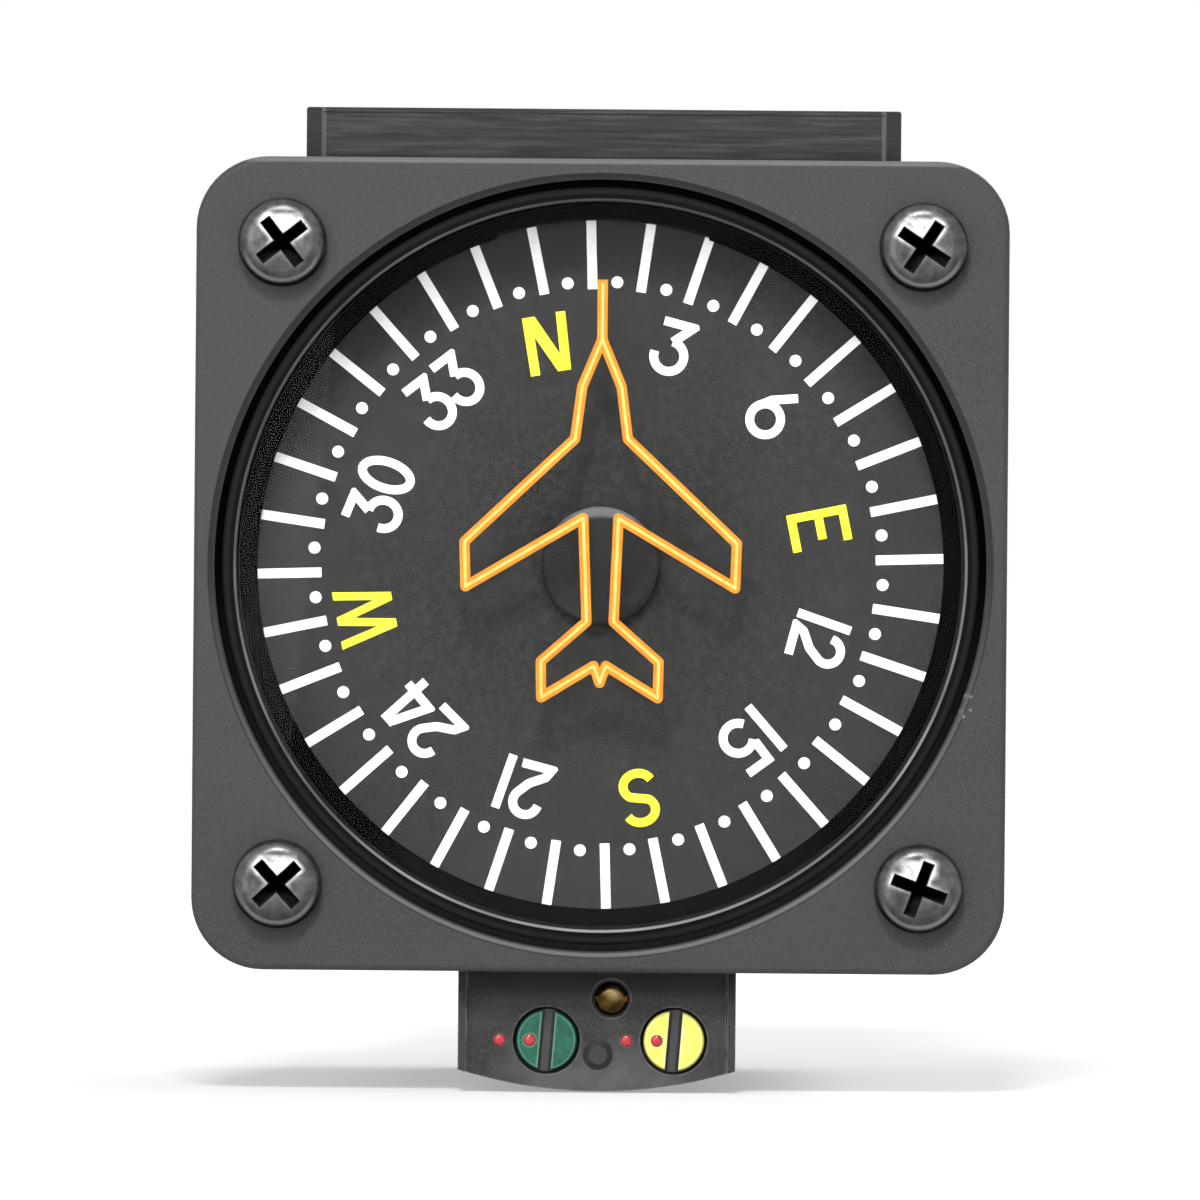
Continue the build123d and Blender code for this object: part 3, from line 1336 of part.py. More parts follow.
def adjuster(x):
    """A slotted adjuster: head, long shaft and two pinions back to back."""
    axis = (x, 0, adjuster_z)
    with BuildPart() as piece:
        add(rod(ADJUSTER_HEAD_R, head_front, head_rear, axis))
        chamfer(piece.edges().group_by(Axis.Y)[0], ADJUSTER_HEAD_EDGE)
        slot_plane = Plane(origin=(x, head_front, adjuster_z), x_dir=(1, 0, 0), z_dir=(0, -1, 0))
        with BuildSketch(slot_plane):
            with Locations(Rotation(0, 0, ADJUSTER_TURN)):
                Rectangle(ADJUSTER_SLOT_W, 3 * ADJUSTER_HEAD_R)
        extrude(amount=-ADJUSTER_SLOT_DEPTH, mode=Mode.SUBTRACT)
        with BuildSketch(slot_plane):
            with Locations((-HEAD_DOT_OFFSET, 0)):
                Circle(DOT_R)
        extrude(amount=-DOT_DEPTH, mode=Mode.SUBTRACT)
        add(rod(ADJUSTER_SHAFT_R, head_rear, bearing_rear + ADJUSTER_STUB, axis))
        with Locations(Plane((x, wheel_ys["front"], adjuster_z), x_dir=(0, 0, 1), z_dir=(0, 1, 0))):
            add(pinion(tooth_on_x=True))
        with Locations(Plane((x, wheel_ys["rear"], adjuster_z), x_dir=(0, 0, 1), z_dir=(0, -1, 0))):
            add(pinion(tooth_on_x=True))
    return piece


def wheel(x, place):
    """A crown wheel over its adjuster, with its teeth down and its gap towards the pinion."""
    towards_pinion = {"front": (0, 1, 0), "rear": (0, -1, 0)}[place]
    with BuildPart() as piece:
        with Locations(Plane((x, wheel_ys[place], adjuster_z), x_dir=towards_pinion, z_dir=ALONG_Z)):
            add(
                bevel_gear(
                    WHEEL_MODULE,
                    WHEEL_TEETH,
                    PINION_TEETH,
                    WHEEL_FACE,
                    WHEEL_RIM,
                    WHEEL_HUB_R,
                    WHEEL_HUB_L,
                    POST_R + RUNNING_GAP,
                    tooth_on_x=False,
                )
            )
    return piece


def ring_magnet(x, place):
    """The compensating magnet on a crown wheel's hub."""
    base_z = adjuster_z + wheel_back
    axis = (x, wheel_ys[place], 0)
    bore = WHEEL_HUB_R + PRESS_GAP
    with BuildPart() as piece:
        add(rod(RING_MAGNET_R, base_z, base_z + RING_MAGNET_T, axis, ALONG_Z, bore=bore))
    return piece


def clip(x):
    """A spring clip on an adjuster's shaft behind the front plate, open at the bottom."""
    front = face_rear + FIT
    with BuildPart() as piece:
        bore = ADJUSTER_SHAFT_R + PRESS_GAP
        add(rod(CLIP_R, front, front + CLIP_T, (x, 0, adjuster_z), bore=bore))
        gap_z = (adjuster_z - CLIP_R, adjuster_z)
        gap = block((x - bore / 2, x + bore / 2), (front, front + CLIP_T), gap_z)
        add(gap, mode=Mode.SUBTRACT)
    return piece


for colour, colour_x in adjuster_xs.items():
    save(adjuster(colour_x), f"{colour}_adjuster")
    save(clip(colour_x), f"{colour}_clip")
    for place in wheel_ys:
        save(wheel(colour_x, place), f"{colour}_{place}_wheel")
        save(ring_magnet(colour_x, place), f"{colour}_{place}_magnet")
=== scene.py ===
"""Panel-mounted vertical-card compass: its finishes, dial printing, lights and camera."""
import math

import bmesh
import bpy
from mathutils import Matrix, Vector
from mathutils.geometry import delaunay_2d_cdt


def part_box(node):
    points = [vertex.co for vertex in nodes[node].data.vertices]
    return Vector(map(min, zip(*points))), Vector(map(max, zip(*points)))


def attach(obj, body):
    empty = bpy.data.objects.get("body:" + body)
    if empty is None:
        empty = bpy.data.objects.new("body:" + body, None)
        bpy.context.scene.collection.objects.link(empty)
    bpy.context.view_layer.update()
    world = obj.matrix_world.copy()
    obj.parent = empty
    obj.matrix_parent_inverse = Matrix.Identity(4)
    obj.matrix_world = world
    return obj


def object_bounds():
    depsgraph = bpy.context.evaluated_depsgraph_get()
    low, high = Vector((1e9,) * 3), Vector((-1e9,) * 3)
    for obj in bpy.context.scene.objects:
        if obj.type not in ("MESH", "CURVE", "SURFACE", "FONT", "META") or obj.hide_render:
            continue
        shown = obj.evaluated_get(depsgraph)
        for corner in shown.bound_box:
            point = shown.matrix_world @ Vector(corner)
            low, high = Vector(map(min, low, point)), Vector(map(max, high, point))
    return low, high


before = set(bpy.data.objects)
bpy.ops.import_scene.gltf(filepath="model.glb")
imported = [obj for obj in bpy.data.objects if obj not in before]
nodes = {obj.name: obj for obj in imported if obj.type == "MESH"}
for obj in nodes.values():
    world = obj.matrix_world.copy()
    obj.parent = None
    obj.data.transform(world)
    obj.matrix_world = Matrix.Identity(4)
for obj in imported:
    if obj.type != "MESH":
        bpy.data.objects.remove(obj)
cad_low, cad_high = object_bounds()

MM = 0.001

# Sizes of the printing and of the added pieces in millimetres, and turns in degrees
PRINT_T = 0.04
TICK_IN = 20.55
TICK_OUT = 25.65
TICK_W = 0.72
TICK_COUNT = 36
DOT_RING_R = 21.1
DOT_R = 0.44
LABEL_R = 17.0
STROKE_W = 0.65
HEADING = 11.7
PRINT_SHIFT = (-0.14, -0.04)
CORE_INSET = 0.26
CORE_T = 0.04
RED_DOT_R = 0.44
RED_DOT_RISE = 0.16
RED_DOT_LEFT = 1.25
RED_PLATE_LEFT = 3.5
DIMPLE_DEPTH = 0.12

# Places and sizes of the CAD pieces that a finish follows, in millimetres and degrees
SCREW_SPOT = 23.57
THREAD_PITCH = 0.794
CLAMP_X = 1.05
CLAMP_Z = -31.97
RIVET_X = 0.1
RIVET_Z = -36.12
SLOT_TURN = -4.5
GREEN_X = -3.7
YELLOW_X = 5.7
ADJUSTER_Z = -35.07

# How far a smooth joint of a stroke may turn, and how far a sharp corner may reach past its centre line,
# as a share of half its width
SMOOTH_TURN = math.radians(40)
CORNER_REACH = 0.9

# Points nearer than these, in millimetres, are one
SAME_POINT = 0.0001
SAME_CORNER = 0.001

# A front face's normal has less than this along Y. Faces that turn less than this, in radians, are one
FRONT_NORMAL = -0.9
FLAT_TURN = 0.01

# Where a mark starts and ends, in metres. Names with R are distances from an axis along Y, names with UP
# or ACROSS are distances from a panel screw's axis, and names with X, Y or Z are places in the part
FLANGE_FACE_Y = (-0.0032, -0.0028)
FLANGE_HIGHLIGHT_Z = (0.02945, 0.02965)
BELOW_TOP_Z = (0.0285, 0.029)
CHIP_SPOT = (0.0263, -0.0099)
CHIP_R = 0.0011
OPENING_R = 0.02839
OPENING_Y = (-0.0033, -0.001)
CHAMFER_R = (0.02842, 0.02888)
CHAMFER_GLINT_R = (0.02858, 0.02876)
LOWER_HALF_Z = (-0.02, 0.0)
RING_BARE_R = (0.0268, 0.027)
RING_BARE_Y = (-0.00262, -0.00256)
RING_HUMP_R = (0.0274, 0.02765)
RING_LIT_Z = (-0.015, 0.015)
DIAL_PALER_R = (0.004, 0.022)
CAP_SHADOW_R = (0.0043, 0.0047)
CAP_GLINT_R = (0.0038, 0.0043)
CAP_LEAST_R = 0.0001
LIP_Y = (0.0009, 0.001)
LIP_END_X = (0.0206, 0.0207)
LIP_SHADOW_Z = (0.03, 0.0304)
LIP_SEAM_X = (0.02055, 0.0208)
PALE_MIDDLE_X = (0.004, 0.0085)
PALE_LOW_Z = (-0.0375, -0.0345)
BLOCK_FACE_Y = (0.0004, 0.0005)
BLOCK_SHADOW_Z = (-0.0322, -0.0312)
HEAD_Y = (-0.0036, -0.0035)
HEAD_RIM_HIGHLIGHT_R = (0.00275, 0.0029)
HEAD_SHADOW_R = (0.00302, 0.0031)
HEAD_LIT_UP = (-0.0004, 0.0008)
HEAD_SHADED_UP = (-0.0018, -0.0004)
HEAD_GLEAM_UP = (0.001, 0.0018)
HEAD_GLEAM_ACROSS = (0.0006, 0.0016)
RECESS_R = (0.0023, 0.0024)
RECESS_SHADE_UP = (-0.001, -0.0005)
RECESS_Y = (-0.0053, -0.0051)
THREAD_Y = (0.0012, 0.0014)
DOME_GLINT_X = CLAMP_X * MM + 0.0002
DOME_GLINT_Z = CLAMP_Z * MM + 0.0005
DOME_GLINT_R = (0.0002, 0.0008)
RIVET_MIDDLE_R = (0.0006, 0.00075)
SLOT_FLOOR_HALF = (0.00022, 0.0003)
SLOT_Y = (0.0003, 0.00042)


def srgb(red, green, blue):
    """A colour of the photograph, 0 to 255, as the linear values that a shader takes."""
    linear = []
    for value in (red, green, blue):
        part = value / 255
        if part <= 0.04045:
            linear.append(part / 12.92)
        else:
            linear.append(((part + 0.055) / 1.055) ** 2.4)
    return (*linear, 1.0)


def grey(value):
    return srgb(value, value, value)


class Finish:
    """A material made of nodes round one Principled shader. Places are in the object's own metres."""

    def __init__(self, name, colour, **values):
        self.material = bpy.data.materials.new(name)
        self.material.use_nodes = True
        self.tree = self.material.node_tree
        self.shader = self.tree.nodes["Principled BSDF"]
        self.output = self.tree.nodes["Material Output"]
        self.shader.inputs["Base Color"].default_value = colour
        for socket, value in values.items():
            self.shader.inputs[socket.replace("_", " ")].default_value = value
        self.place = self.node("ShaderNodeTexCoord").outputs["Object"]

    def node(self, kind, **settings):
        made = self.tree.nodes.new(kind)
        for key, value in settings.items():
            setattr(made, key, value)
        return made

    def link(self, source, target):
        self.tree.links.new(source, target)

    def feed(self, socket, source):
        if isinstance(source, (int, float)):
            socket.default_value = source
        else:
            self.link(source, socket)

    def maths(self, operation, first, second=0.0, clamp=False):
        made = self.node("ShaderNodeMath", operation=operation, use_clamp=clamp)
        self.feed(made.inputs[0], first)
        self.feed(made.inputs[1], second)
        return made.outputs[0]

    def times(self, *factors):
        """The product of the factors. Each may be a number or a node's output."""
        product = factors[0]
        for factor in factors[1:]:
            product = self.maths("MULTIPLY", product, factor)
        return product

    def distance(self, across, up):
        """How far off a point is that lies so far across and up."""
        squares = self.maths("ADD", self.times(across, across), self.times(up, up))
        return self.maths("SQRT", squares)

    def stretched(self, scale):
        made = self.node("ShaderNodeMapping")
        made.inputs["Scale"].default_value = scale
        self.link(self.place, made.inputs["Vector"])
        return made.outputs["Vector"]

    def noise(self, scale, detail=3.0, roughness=0.55, stretch=(1, 1, 1)):
        """A noise from 0 to 1 whose grains are about 1 / scale metres."""
        made = self.node("ShaderNodeTexNoise")
        made.inputs["Scale"].default_value = scale
        made.inputs["Detail"].default_value = detail
        made.inputs["Roughness"].default_value = roughness
        self.link(self.stretched(stretch), made.inputs["Vector"])
        return made.outputs["Fac"]

    def between(self, source, low, high, to_low=0.0, to_high=1.0):
        made = self.node("ShaderNodeMapRange")
        made.inputs["From Min"].default_value = low
        made.inputs["From Max"].default_value = high
        made.inputs["To Min"].default_value = to_low
        made.inputs["To Max"].default_value = to_high
        self.link(source, made.inputs["Value"])
        return made.outputs["Result"]

    def fade(self, source, low, high):
        """1 up to low, falling to 0 at high."""
        return self.between(source, low, high, 1.0, 0.0)

    def mottle(self, scale, to_low=0.0, to_high=1.0, detail=3.0):
        """A noise of full contrast, from the one value to the other."""
        return self.between(self.noise(scale, detail), 0.3, 0.7, to_low, to_high)

    def blend(self, factor, first, second):
        """From the first colour to the second. Either may be a colour or a node's output."""
        made = self.node("ShaderNodeMix", data_type="RGBA")
        self.link(factor, made.inputs["Factor"])
        for socket, colour in ((made.inputs[6], first), (made.inputs[7], second)):
            if isinstance(colour, tuple):
                socket.default_value = colour
            else:
                self.link(colour, socket)
        return made.outputs[2]

    def split(self):
        made = self.node("ShaderNodeSeparateXYZ")
        self.link(self.place, made.inputs[0])
        return made.outputs

    def radius(self, x=0.0, z=0.0):
        """Distance from the line along Y through x and z, in metres."""
        parts = self.split()
        return self.distance(self.maths("SUBTRACT", parts["X"], x), self.maths("SUBTRACT", parts["Z"], z))

    def spot_radius(self):
        """Distance from the axis of the nearest of the four panel screws, in metres."""
        parts = self.split()
        across = self.maths("SUBTRACT", self.maths("ABSOLUTE", parts["X"]), SCREW_SPOT * MM)
        up = self.maths("SUBTRACT", self.maths("ABSOLUTE", parts["Z"]), SCREW_SPOT * MM)
        return self.distance(across, up)

    def band(self, source, low, high, soft):
        """1 where the source lies from low to high, fading out over the soft width on both sides."""
        return self.times(self.between(source, low - soft, low), self.fade(source, high, high + soft))

    def edges(self, width, gain=6.0):
        """1 on the model's sharp edges, fading out over the width, in metres."""
        bevel = self.node("ShaderNodeBevel", samples=6)
        bevel.inputs["Radius"].default_value = width
        flat = self.node("ShaderNodeNewGeometry").outputs["Normal"]
        dot = self.node("ShaderNodeVectorMath", operation="DOT_PRODUCT")
        self.link(bevel.outputs["Normal"], dot.inputs[0])
        self.link(flat, dot.inputs[1])
        lost = self.maths("SUBTRACT", 1.0, dot.outputs["Value"])
        return self.maths("MULTIPLY", lost, gain, clamp=True)

    def colour(self, source):
        self.link(source, self.shader.inputs["Base Color"])

    def rough(self, source):
        self.link(source, self.shader.inputs["Roughness"])

    def metal(self, source):
        self.link(source, self.shader.inputs["Metallic"])

    def gloss(self, source):
        self.link(source, self.shader.inputs["Specular IOR Level"])

    def relief(self, height, depth, strength=1.0):
        """Bumps of the depth, in metres."""
        bump = self.node("ShaderNodeBump")
        bump.inputs["Strength"].default_value = strength
        bump.inputs["Distance"].default_value = depth
        self.link(height, bump.inputs["Height"])
        self.link(bump.outputs["Normal"], self.shader.inputs["Normal"])

    def let_lamps_through(self):
        """Clear to the lamps, so that what lies behind it is lit."""
        path = self.node("ShaderNodeLightPath")
        clear = self.node("ShaderNodeBsdfTransparent")
        mix = self.node("ShaderNodeMixShader")
        self.link(path.outputs["Is Shadow Ray"], mix.inputs[0])
        self.link(self.shader.outputs[0], mix.inputs[1])
        self.link(clear.outputs[0], mix.inputs[2])
        self.link(mix.outputs[0], self.output.inputs["Surface"])


def two_tone(name, dark, light, specular, patch_scale, haze_scale, haze):
    """A finish in patches of two shades, whose roughness wavers between the two values of haze."""
    made = Finish(name, light, Specular_IOR_Level=specular)
    made.colour(made.blend(made.mottle(patch_scale), dark, light))
    made.rough(made.mottle(haze_scale, *haze))
    return made


def moulded_plastic():
    """Dark grey satin moulding with a fine grain and a small pale chip. Painted shade makes it black inside
    the opening, with its lower side there paler as painted light, and darkens its chamfer and its edges
    below the top; painted highlights make its top edges pale in patches, its top edge a pale line and the
    lower part of its chamfer gleam.
    """
    made = Finish("case_finish", grey(66), Specular_IOR_Level=0.2)
    grain = made.noise(5200, detail=2)
    body = made.blend(made.mottle(90, detail=2), grey(59), grey(68))
    body = made.blend(made.between(grain, 0.35, 0.7), body, grey(74))
    parts = made.split()
    across = made.radius()
    front = made.fade(parts["Y"], *FLANGE_FACE_Y)
    edge = made.edges(0.00022)
    # painted shade: the edges of the flange's face below its top are darkened
    shaded = made.times(made.fade(parts["Z"], *BELOW_TOP_Z), front)
    body = made.blend(made.times(edge, shaded, 0.8), body, grey(22))
    # painted highlight: the edges at the top of the flange are pale, in patches
    patchy = made.between(made.noise(700), 0.3, 0.6, 0.1, 0.7)
    body = made.blend(made.times(edge, patchy, made.fade(shaded, 0.0, 1.0)), body, grey(122))
    # painted highlight: a pale line along the flange's top edge
    top_edge_highlight = made.times(made.between(parts["Z"], *FLANGE_HIGHLIGHT_Z), front)
    body = made.blend(made.times(top_edge_highlight, 0.8), body, grey(116))
    chips = made.between(made.noise(2300, detail=4), 0.56, 0.62)
    chipped = made.times(made.band(made.radius(*CHIP_SPOT), 0.0, CHIP_R, 0.0002), chips, front)
    body = made.blend(chipped, body, grey(165))
    # painted shade: the chamfer round the opening is darkened
    chamfer = made.times(made.band(across, *CHAMFER_R, 0.00004), front)
    body = made.blend(made.times(chamfer, 0.7), body, grey(44))
    lower = made.fade(parts["Z"], *LOWER_HALF_Z)
    # painted highlight: a bright band on the lower part of the chamfer, which faces up
    glint = made.times(made.band(across, *CHAMFER_GLINT_R, 0.0001), front, lower)
    body = made.blend(glint, body, grey(112))
    # painted shade: black inside the opening, paler on its lower side as painted light
    depth = made.band(parts["Y"], *OPENING_Y, 0.0001)
    opening = made.times(made.band(across, 0.0, OPENING_R, 0.00003), depth)
    made.colour(made.blend(opening, body, made.blend(lower, grey(4), grey(28))))
    made.gloss(made.between(opening, 0.0, 1.0, 0.2, 0.0))
    made.rough(made.mottle(300, 0.42, 0.56))
    made.relief(grain, 0.00002, 0.6)
    return made.material


def ring_metal():
    """Black anodised ring whose inner chamfer is bare bright metal, brighter on its lower side and darker on
    its upper side as painted light.
    """
    made = Finish("ring_finish", grey(8), Specular_IOR_Level=0.06)
    parts = made.split()
    bare = made.times(made.band(made.radius(), *RING_BARE_R, 0.00004), made.fade(parts["Y"], *RING_BARE_Y))
    shade = made.blend(made.mottle(1200), grey(6), grey(12))
    shade = made.blend(made.band(made.radius(), *RING_HUMP_R, 0.0001), shade, grey(28))
    # painted light: the bare metal is brighter low on the ring and darker high on it
    lit_silver = made.blend(made.between(parts["Z"], *RING_LIT_Z), grey(180), grey(110))
    lit_silver = made.blend(made.between(made.noise(90), 0.35, 0.65, 0.0, 0.7), lit_silver, grey(74))
    made.colour(made.blend(bare, shade, lit_silver))
    made.metal(bare)
    made.rough(made.mottle(900, 0.32, 0.45))
    made.relief(made.noise(6000), 0.000008, 0.4)
    return made.material


def mask_metal():
    """Dull black sheet."""
    made = two_tone("mask_finish", grey(2), grey(6), 0.0, 800, 2500, (0.6, 0.75))
    made.relief(made.noise(7000), 0.00001, 0.5)
    return made.material


def dial_paint():
    """Matt charcoal with a faint mottle, as a printed metal card has, a little darker in the middle."""
    made = Finish("dial_finish", grey(60), Specular_IOR_Level=0.05)
    grain = made.noise(2600, detail=4, roughness=0.65)
    across = made.radius()
    body = made.blend(made.between(across, *DIAL_PALER_R), grey(36), grey(44))
    # painted shadow: a soft dark ring on the dial round the cap
    cap_shadow = made.band(across, *CAP_SHADOW_R, 0.0009)
    body = made.blend(made.times(cap_shadow, 0.5), body, grey(20))
    body = made.blend(made.mottle(160, 0.0, 0.25), body, grey(54))
    made.colour(made.blend(made.between(grain, 0.42, 0.7, 0.0, 0.8), body, grey(60)))
    made.rough(made.between(grain, 0.3, 0.7, 0.7, 0.85))
    made.relief(grain, 0.00001, 0.5)
    return made.material


def cap_paint():
    """Matt cap, with a painted highlight on the part of its rim that is uppermost at rest."""
    made = Finish("cap_finish", grey(34), Specular_IOR_Level=0.1)
    body = made.blend(made.between(made.noise(1500, detail=3), 0.35, 0.7), grey(28), grey(38))
    across = made.radius()
    share = made.maths("DIVIDE", made.split()["Z"], made.maths("MAXIMUM", across, CAP_LEAST_R))
    # painted highlight: paler on the upper part of the rim
    cap_highlight = made.times(made.band(across, *CAP_GLINT_R, 0.0003), made.between(share, 0.45, 0.9))
    made.colour(made.blend(cap_highlight, body, grey(94)))
    made.rough(made.mottle(2400, 0.4, 0.55))
    return made.material


def print_ink(name, low, high):
    """A raised screen print with slightly uneven cover."""
    made = Finish(name, high, Specular_IOR_Level=0.2)
    made.colour(made.blend(made.between(made.noise(1400), 0.3, 0.6), low, high))
    made.rough(made.mottle(2600, 0.55, 0.7))
    made.relief(made.noise(5200), 0.000006, 0.5)
    return made.material


def cover_metal():
    """Painted top cover, rubbed in streaks from side to side, with a pale seam near each end of its lip and
    a painted shadow along the bottom of its lip.
    """
    made = Finish("cover_finish", grey(50), Specular_IOR_Level=0.2)
    streak = made.noise(90, detail=5, roughness=0.7, stretch=(1, 40, 40))
    fine = made.noise(700, detail=3, stretch=(0.25, 4, 4))
    body = made.blend(made.between(streak, 0.35, 0.7), grey(36), grey(62))
    body = made.blend(made.between(fine, 0.45, 0.75), body, grey(78))
    parts = made.split()
    lip = made.fade(parts["Y"], *LIP_Y)
    side = made.maths("ABSOLUTE", parts["X"])
    end = made.times(made.between(side, *LIP_END_X), lip)
    body = made.blend(made.times(end, 0.7), body, grey(34))
    # painted shadow: a dark band along the bottom of the lip, just above the flange
    lip_shadow = made.times(made.fade(parts["Z"], *LIP_SHADOW_Z), lip)
    body = made.blend(made.times(lip_shadow, 0.8), body, grey(22))
    seam = made.times(made.band(side, *LIP_SEAM_X, 0.00006), lip)
    body = made.blend(made.times(seam, 0.7), body, grey(104))
    worn = made.times(made.edges(0.00015), made.between(made.noise(500), 0.35, 0.6, 0.1, 0.6))
    made.colour(made.blend(worn, body, grey(104)))
    made.rough(made.between(fine, 0.3, 0.7, 0.42, 0.6))
    made.relief(streak, 0.00003, 0.5)
    return made.material


def block_metal():
    """Dark painted block, paler in patches low in the middle, with pale edges and a painted shadow beneath
    the flange.
    """
    made = Finish("block_finish", grey(54), Specular_IOR_Level=0.2)
    patch = made.noise(380, detail=4, roughness=0.6)
    grain = made.noise(4200, detail=3)
    body = made.blend(made.between(patch, 0.35, 0.68), grey(46), grey(64))
    body = made.blend(made.between(grain, 0.5, 0.75), body, grey(74))
    parts = made.split()
    middle = made.times(made.fade(made.maths("ABSOLUTE", parts["X"]), *PALE_MIDDLE_X),
                        made.fade(parts["Z"], *PALE_LOW_Z))
    body = made.blend(made.times(middle, made.between(patch, 0.3, 0.6, 0.4, 1.0)), body, grey(96))
    # painted shadow: the top of the block's face, beneath the flange, is darkened
    flange_shadow = made.times(made.between(parts["Z"], *BLOCK_SHADOW_Z), made.fade(parts["Y"], *BLOCK_FACE_Y))
    body = made.blend(made.times(flange_shadow, 0.85), body, grey(14))
    worn = made.times(made.edges(0.0002), made.between(made.noise(900), 0.35, 0.6, 0.15, 0.9))
    made.colour(made.blend(worn, body, grey(130)))
    made.rough(made.between(patch, 0.3, 0.7, 0.4, 0.58))
    made.relief(grain, 0.00002, 0.6)
    return made.material


def black_oxide():
    """Blackened steel screws. On the flange heads, painted shade makes the recess black and the lower side
    dark, with a painted shadow round the bottom of the head; painted highlights whiten the rubbed edges on
    the upper side, a patch above the recess and a thin rim low on the head.
    """
    made = Finish("black_oxide_finish", grey(84))
    body = made.blend(made.between(made.noise(1100, detail=4), 0.35, 0.7), grey(66), grey(100))
    parts = made.split()
    front = made.fade(parts["Y"], *HEAD_Y)
    row = made.times(made.maths("SIGN", parts["Z"]), SCREW_SPOT * MM)
    local_up = made.maths("SUBTRACT", parts["Z"], row)
    local_x = made.maths("SUBTRACT", made.maths("ABSOLUTE", parts["X"]), SCREW_SPOT * MM)
    off_axis = made.spot_radius()

    # painted highlight: the rubbed edges are whitened, fully on the upper side of the head and little below
    high = made.maths("MAXIMUM", made.between(local_up, *HEAD_LIT_UP, 0.08, 1.0),
                      made.between(front, 0.0, 1.0, 0.35, 0.0))
    worn = made.times(made.edges(0.0006, 12.0), made.between(made.noise(1500), 0.3, 0.6, 0.5, 1.0))
    body = made.blend(made.times(worn, high), body, grey(240))
    # painted shade: the lower side of the head is darker
    low = made.times(made.fade(local_up, *HEAD_SHADED_UP), front)
    body = made.blend(made.times(low, 0.5), body, grey(50))
    # painted highlight: a pale rim low on the head
    rim = made.times(made.band(off_axis, *HEAD_RIM_HIGHLIGHT_R, 0.0001), low)
    body = made.blend(made.times(rim, 0.7), body, grey(130))
    # painted highlight: a white patch above the recess
    gleam = made.times(made.band(local_up, *HEAD_GLEAM_UP, 0.0004),
                       made.fade(made.maths("ABSOLUTE", local_x), *HEAD_GLEAM_ACROSS),
                       made.between(made.noise(900), 0.3, 0.55, 0.2, 1.0), front)
    body = made.blend(gleam, body, grey(245))
    # painted shadow: black round the bottom of the head
    body = made.blend(made.times(made.between(off_axis, *HEAD_SHADOW_R), low), body, grey(5))

    # painted shade: the recess is black, a little lighter on its lowest part
    deep = made.times(made.between(parts["Y"], *RECESS_Y), made.fade(off_axis, *RECESS_R), front)
    recess = made.blend(made.between(local_up, *RECESS_SHADE_UP), grey(44), grey(4))
    made.colour(made.blend(deep, body, recess))
    made.metal(made.fade(deep, 0.0, 1.0))
    made.gloss(made.between(deep, 0.0, 1.0, 0.5, 0.0))
    made.rough(made.mottle(2200, 0.28, 0.42))
    thread = made.maths("SINE", made.times(parts["Y"], 2 * math.pi / (THREAD_PITCH * MM)))
    bumps = made.maths("ADD", made.times(thread, made.between(parts["Y"], *THREAD_Y)),
                       made.times(made.noise(4200, detail=4), 0.1))
    made.relief(bumps, 0.00016, 0.6)
    return made.material


def bronze_dome():
    """Tarnished bronze, brown in the hollows, with a painted highlight near the top of its dome."""
    made = Finish("bronze_finish", srgb(100, 80, 36), Metallic=1.0)
    tarnish = made.noise(900, detail=2)
    body = made.blend(made.between(tarnish, 0.3, 0.7), srgb(44, 34, 14), srgb(84, 68, 34))
    # painted highlight near the top of the dome
    glint = made.between(made.radius(DOME_GLINT_X, DOME_GLINT_Z), *DOME_GLINT_R, 0.8, 0.0)
    made.colour(made.blend(glint, body, srgb(160, 136, 96)))
    made.rough(made.mottle(2600, 0.2, 0.36))
    made.relief(tarnish, 0.00001, 0.5)
    return made.material


def dark_rivet():
    """Dark rivet, paler in the middle than the ring round it."""
    made = Finish("rivet_finish", grey(34), Specular_IOR_Level=0.2)
    middle = made.fade(made.radius(RIVET_X * MM, RIVET_Z * MM), *RIVET_MIDDLE_R)
    shade = made.blend(made.mottle(1800), grey(38), grey(56))
    made.colour(made.blend(middle, shade, grey(64)))
    made.rough(made.mottle(2400, 0.4, 0.6))
    return made.material


def turned_metal(name, dark, light, rough_low=0.22, rough_high=0.38):
    """Machined metal with fine tool marks and a little tarnish."""
    made = Finish(name, light, Metallic=1.0)
    marks = made.noise(2500, detail=2, stretch=(1, 6, 1))
    made.colour(made.blend(made.between(made.noise(600, detail=4), 0.35, 0.7), dark, light))
    made.rough(made.between(marks, 0.3, 0.7, rough_low, rough_high))
    made.relief(marks, 0.000006, 0.4)
    return made.material


def enamel(name, dark, light, rim, axis_x):
    """Enamelled slotted head, paler round its rim, with a bare grey floor in its slot and painted shadow
    along the slot's sides.
    """
    made = Finish(name, light, Specular_IOR_Level=0.4)
    body = made.blend(made.between(made.noise(1300, detail=3), 0.35, 0.7), dark, light)
    body = made.blend(made.times(made.edges(0.00028, 7.0), 0.85), body, rim)
    parts = made.split()
    sine = math.sin(math.radians(SLOT_TURN))
    cosine = math.cos(math.radians(SLOT_TURN))
    across = made.times(made.maths("SUBTRACT", parts["X"], axis_x * MM), cosine)
    along = made.times(made.maths("SUBTRACT", parts["Z"], ADJUSTER_Z * MM), sine)
    off_middle = made.maths("ABSOLUTE", made.maths("ADD", across, along))
    # painted shadow: black along the sides of the slot
    slot = made.blend(made.between(off_middle, *SLOT_FLOOR_HALF), grey(66), grey(10))
    made.colour(made.blend(made.between(parts["Y"], *SLOT_Y), body, slot))
    made.rough(made.mottle(1500, 0.3, 0.45))
    made.relief(made.noise(2600), 0.000012, 0.5)
    return made.material


def soft_rubber():
    made = two_tone("rubber_finish", grey(32), grey(44), 0.25, 1000, 1800, (0.65, 0.8))
    made.relief(made.noise(3000), 0.00002, 0.5)
    return made.material


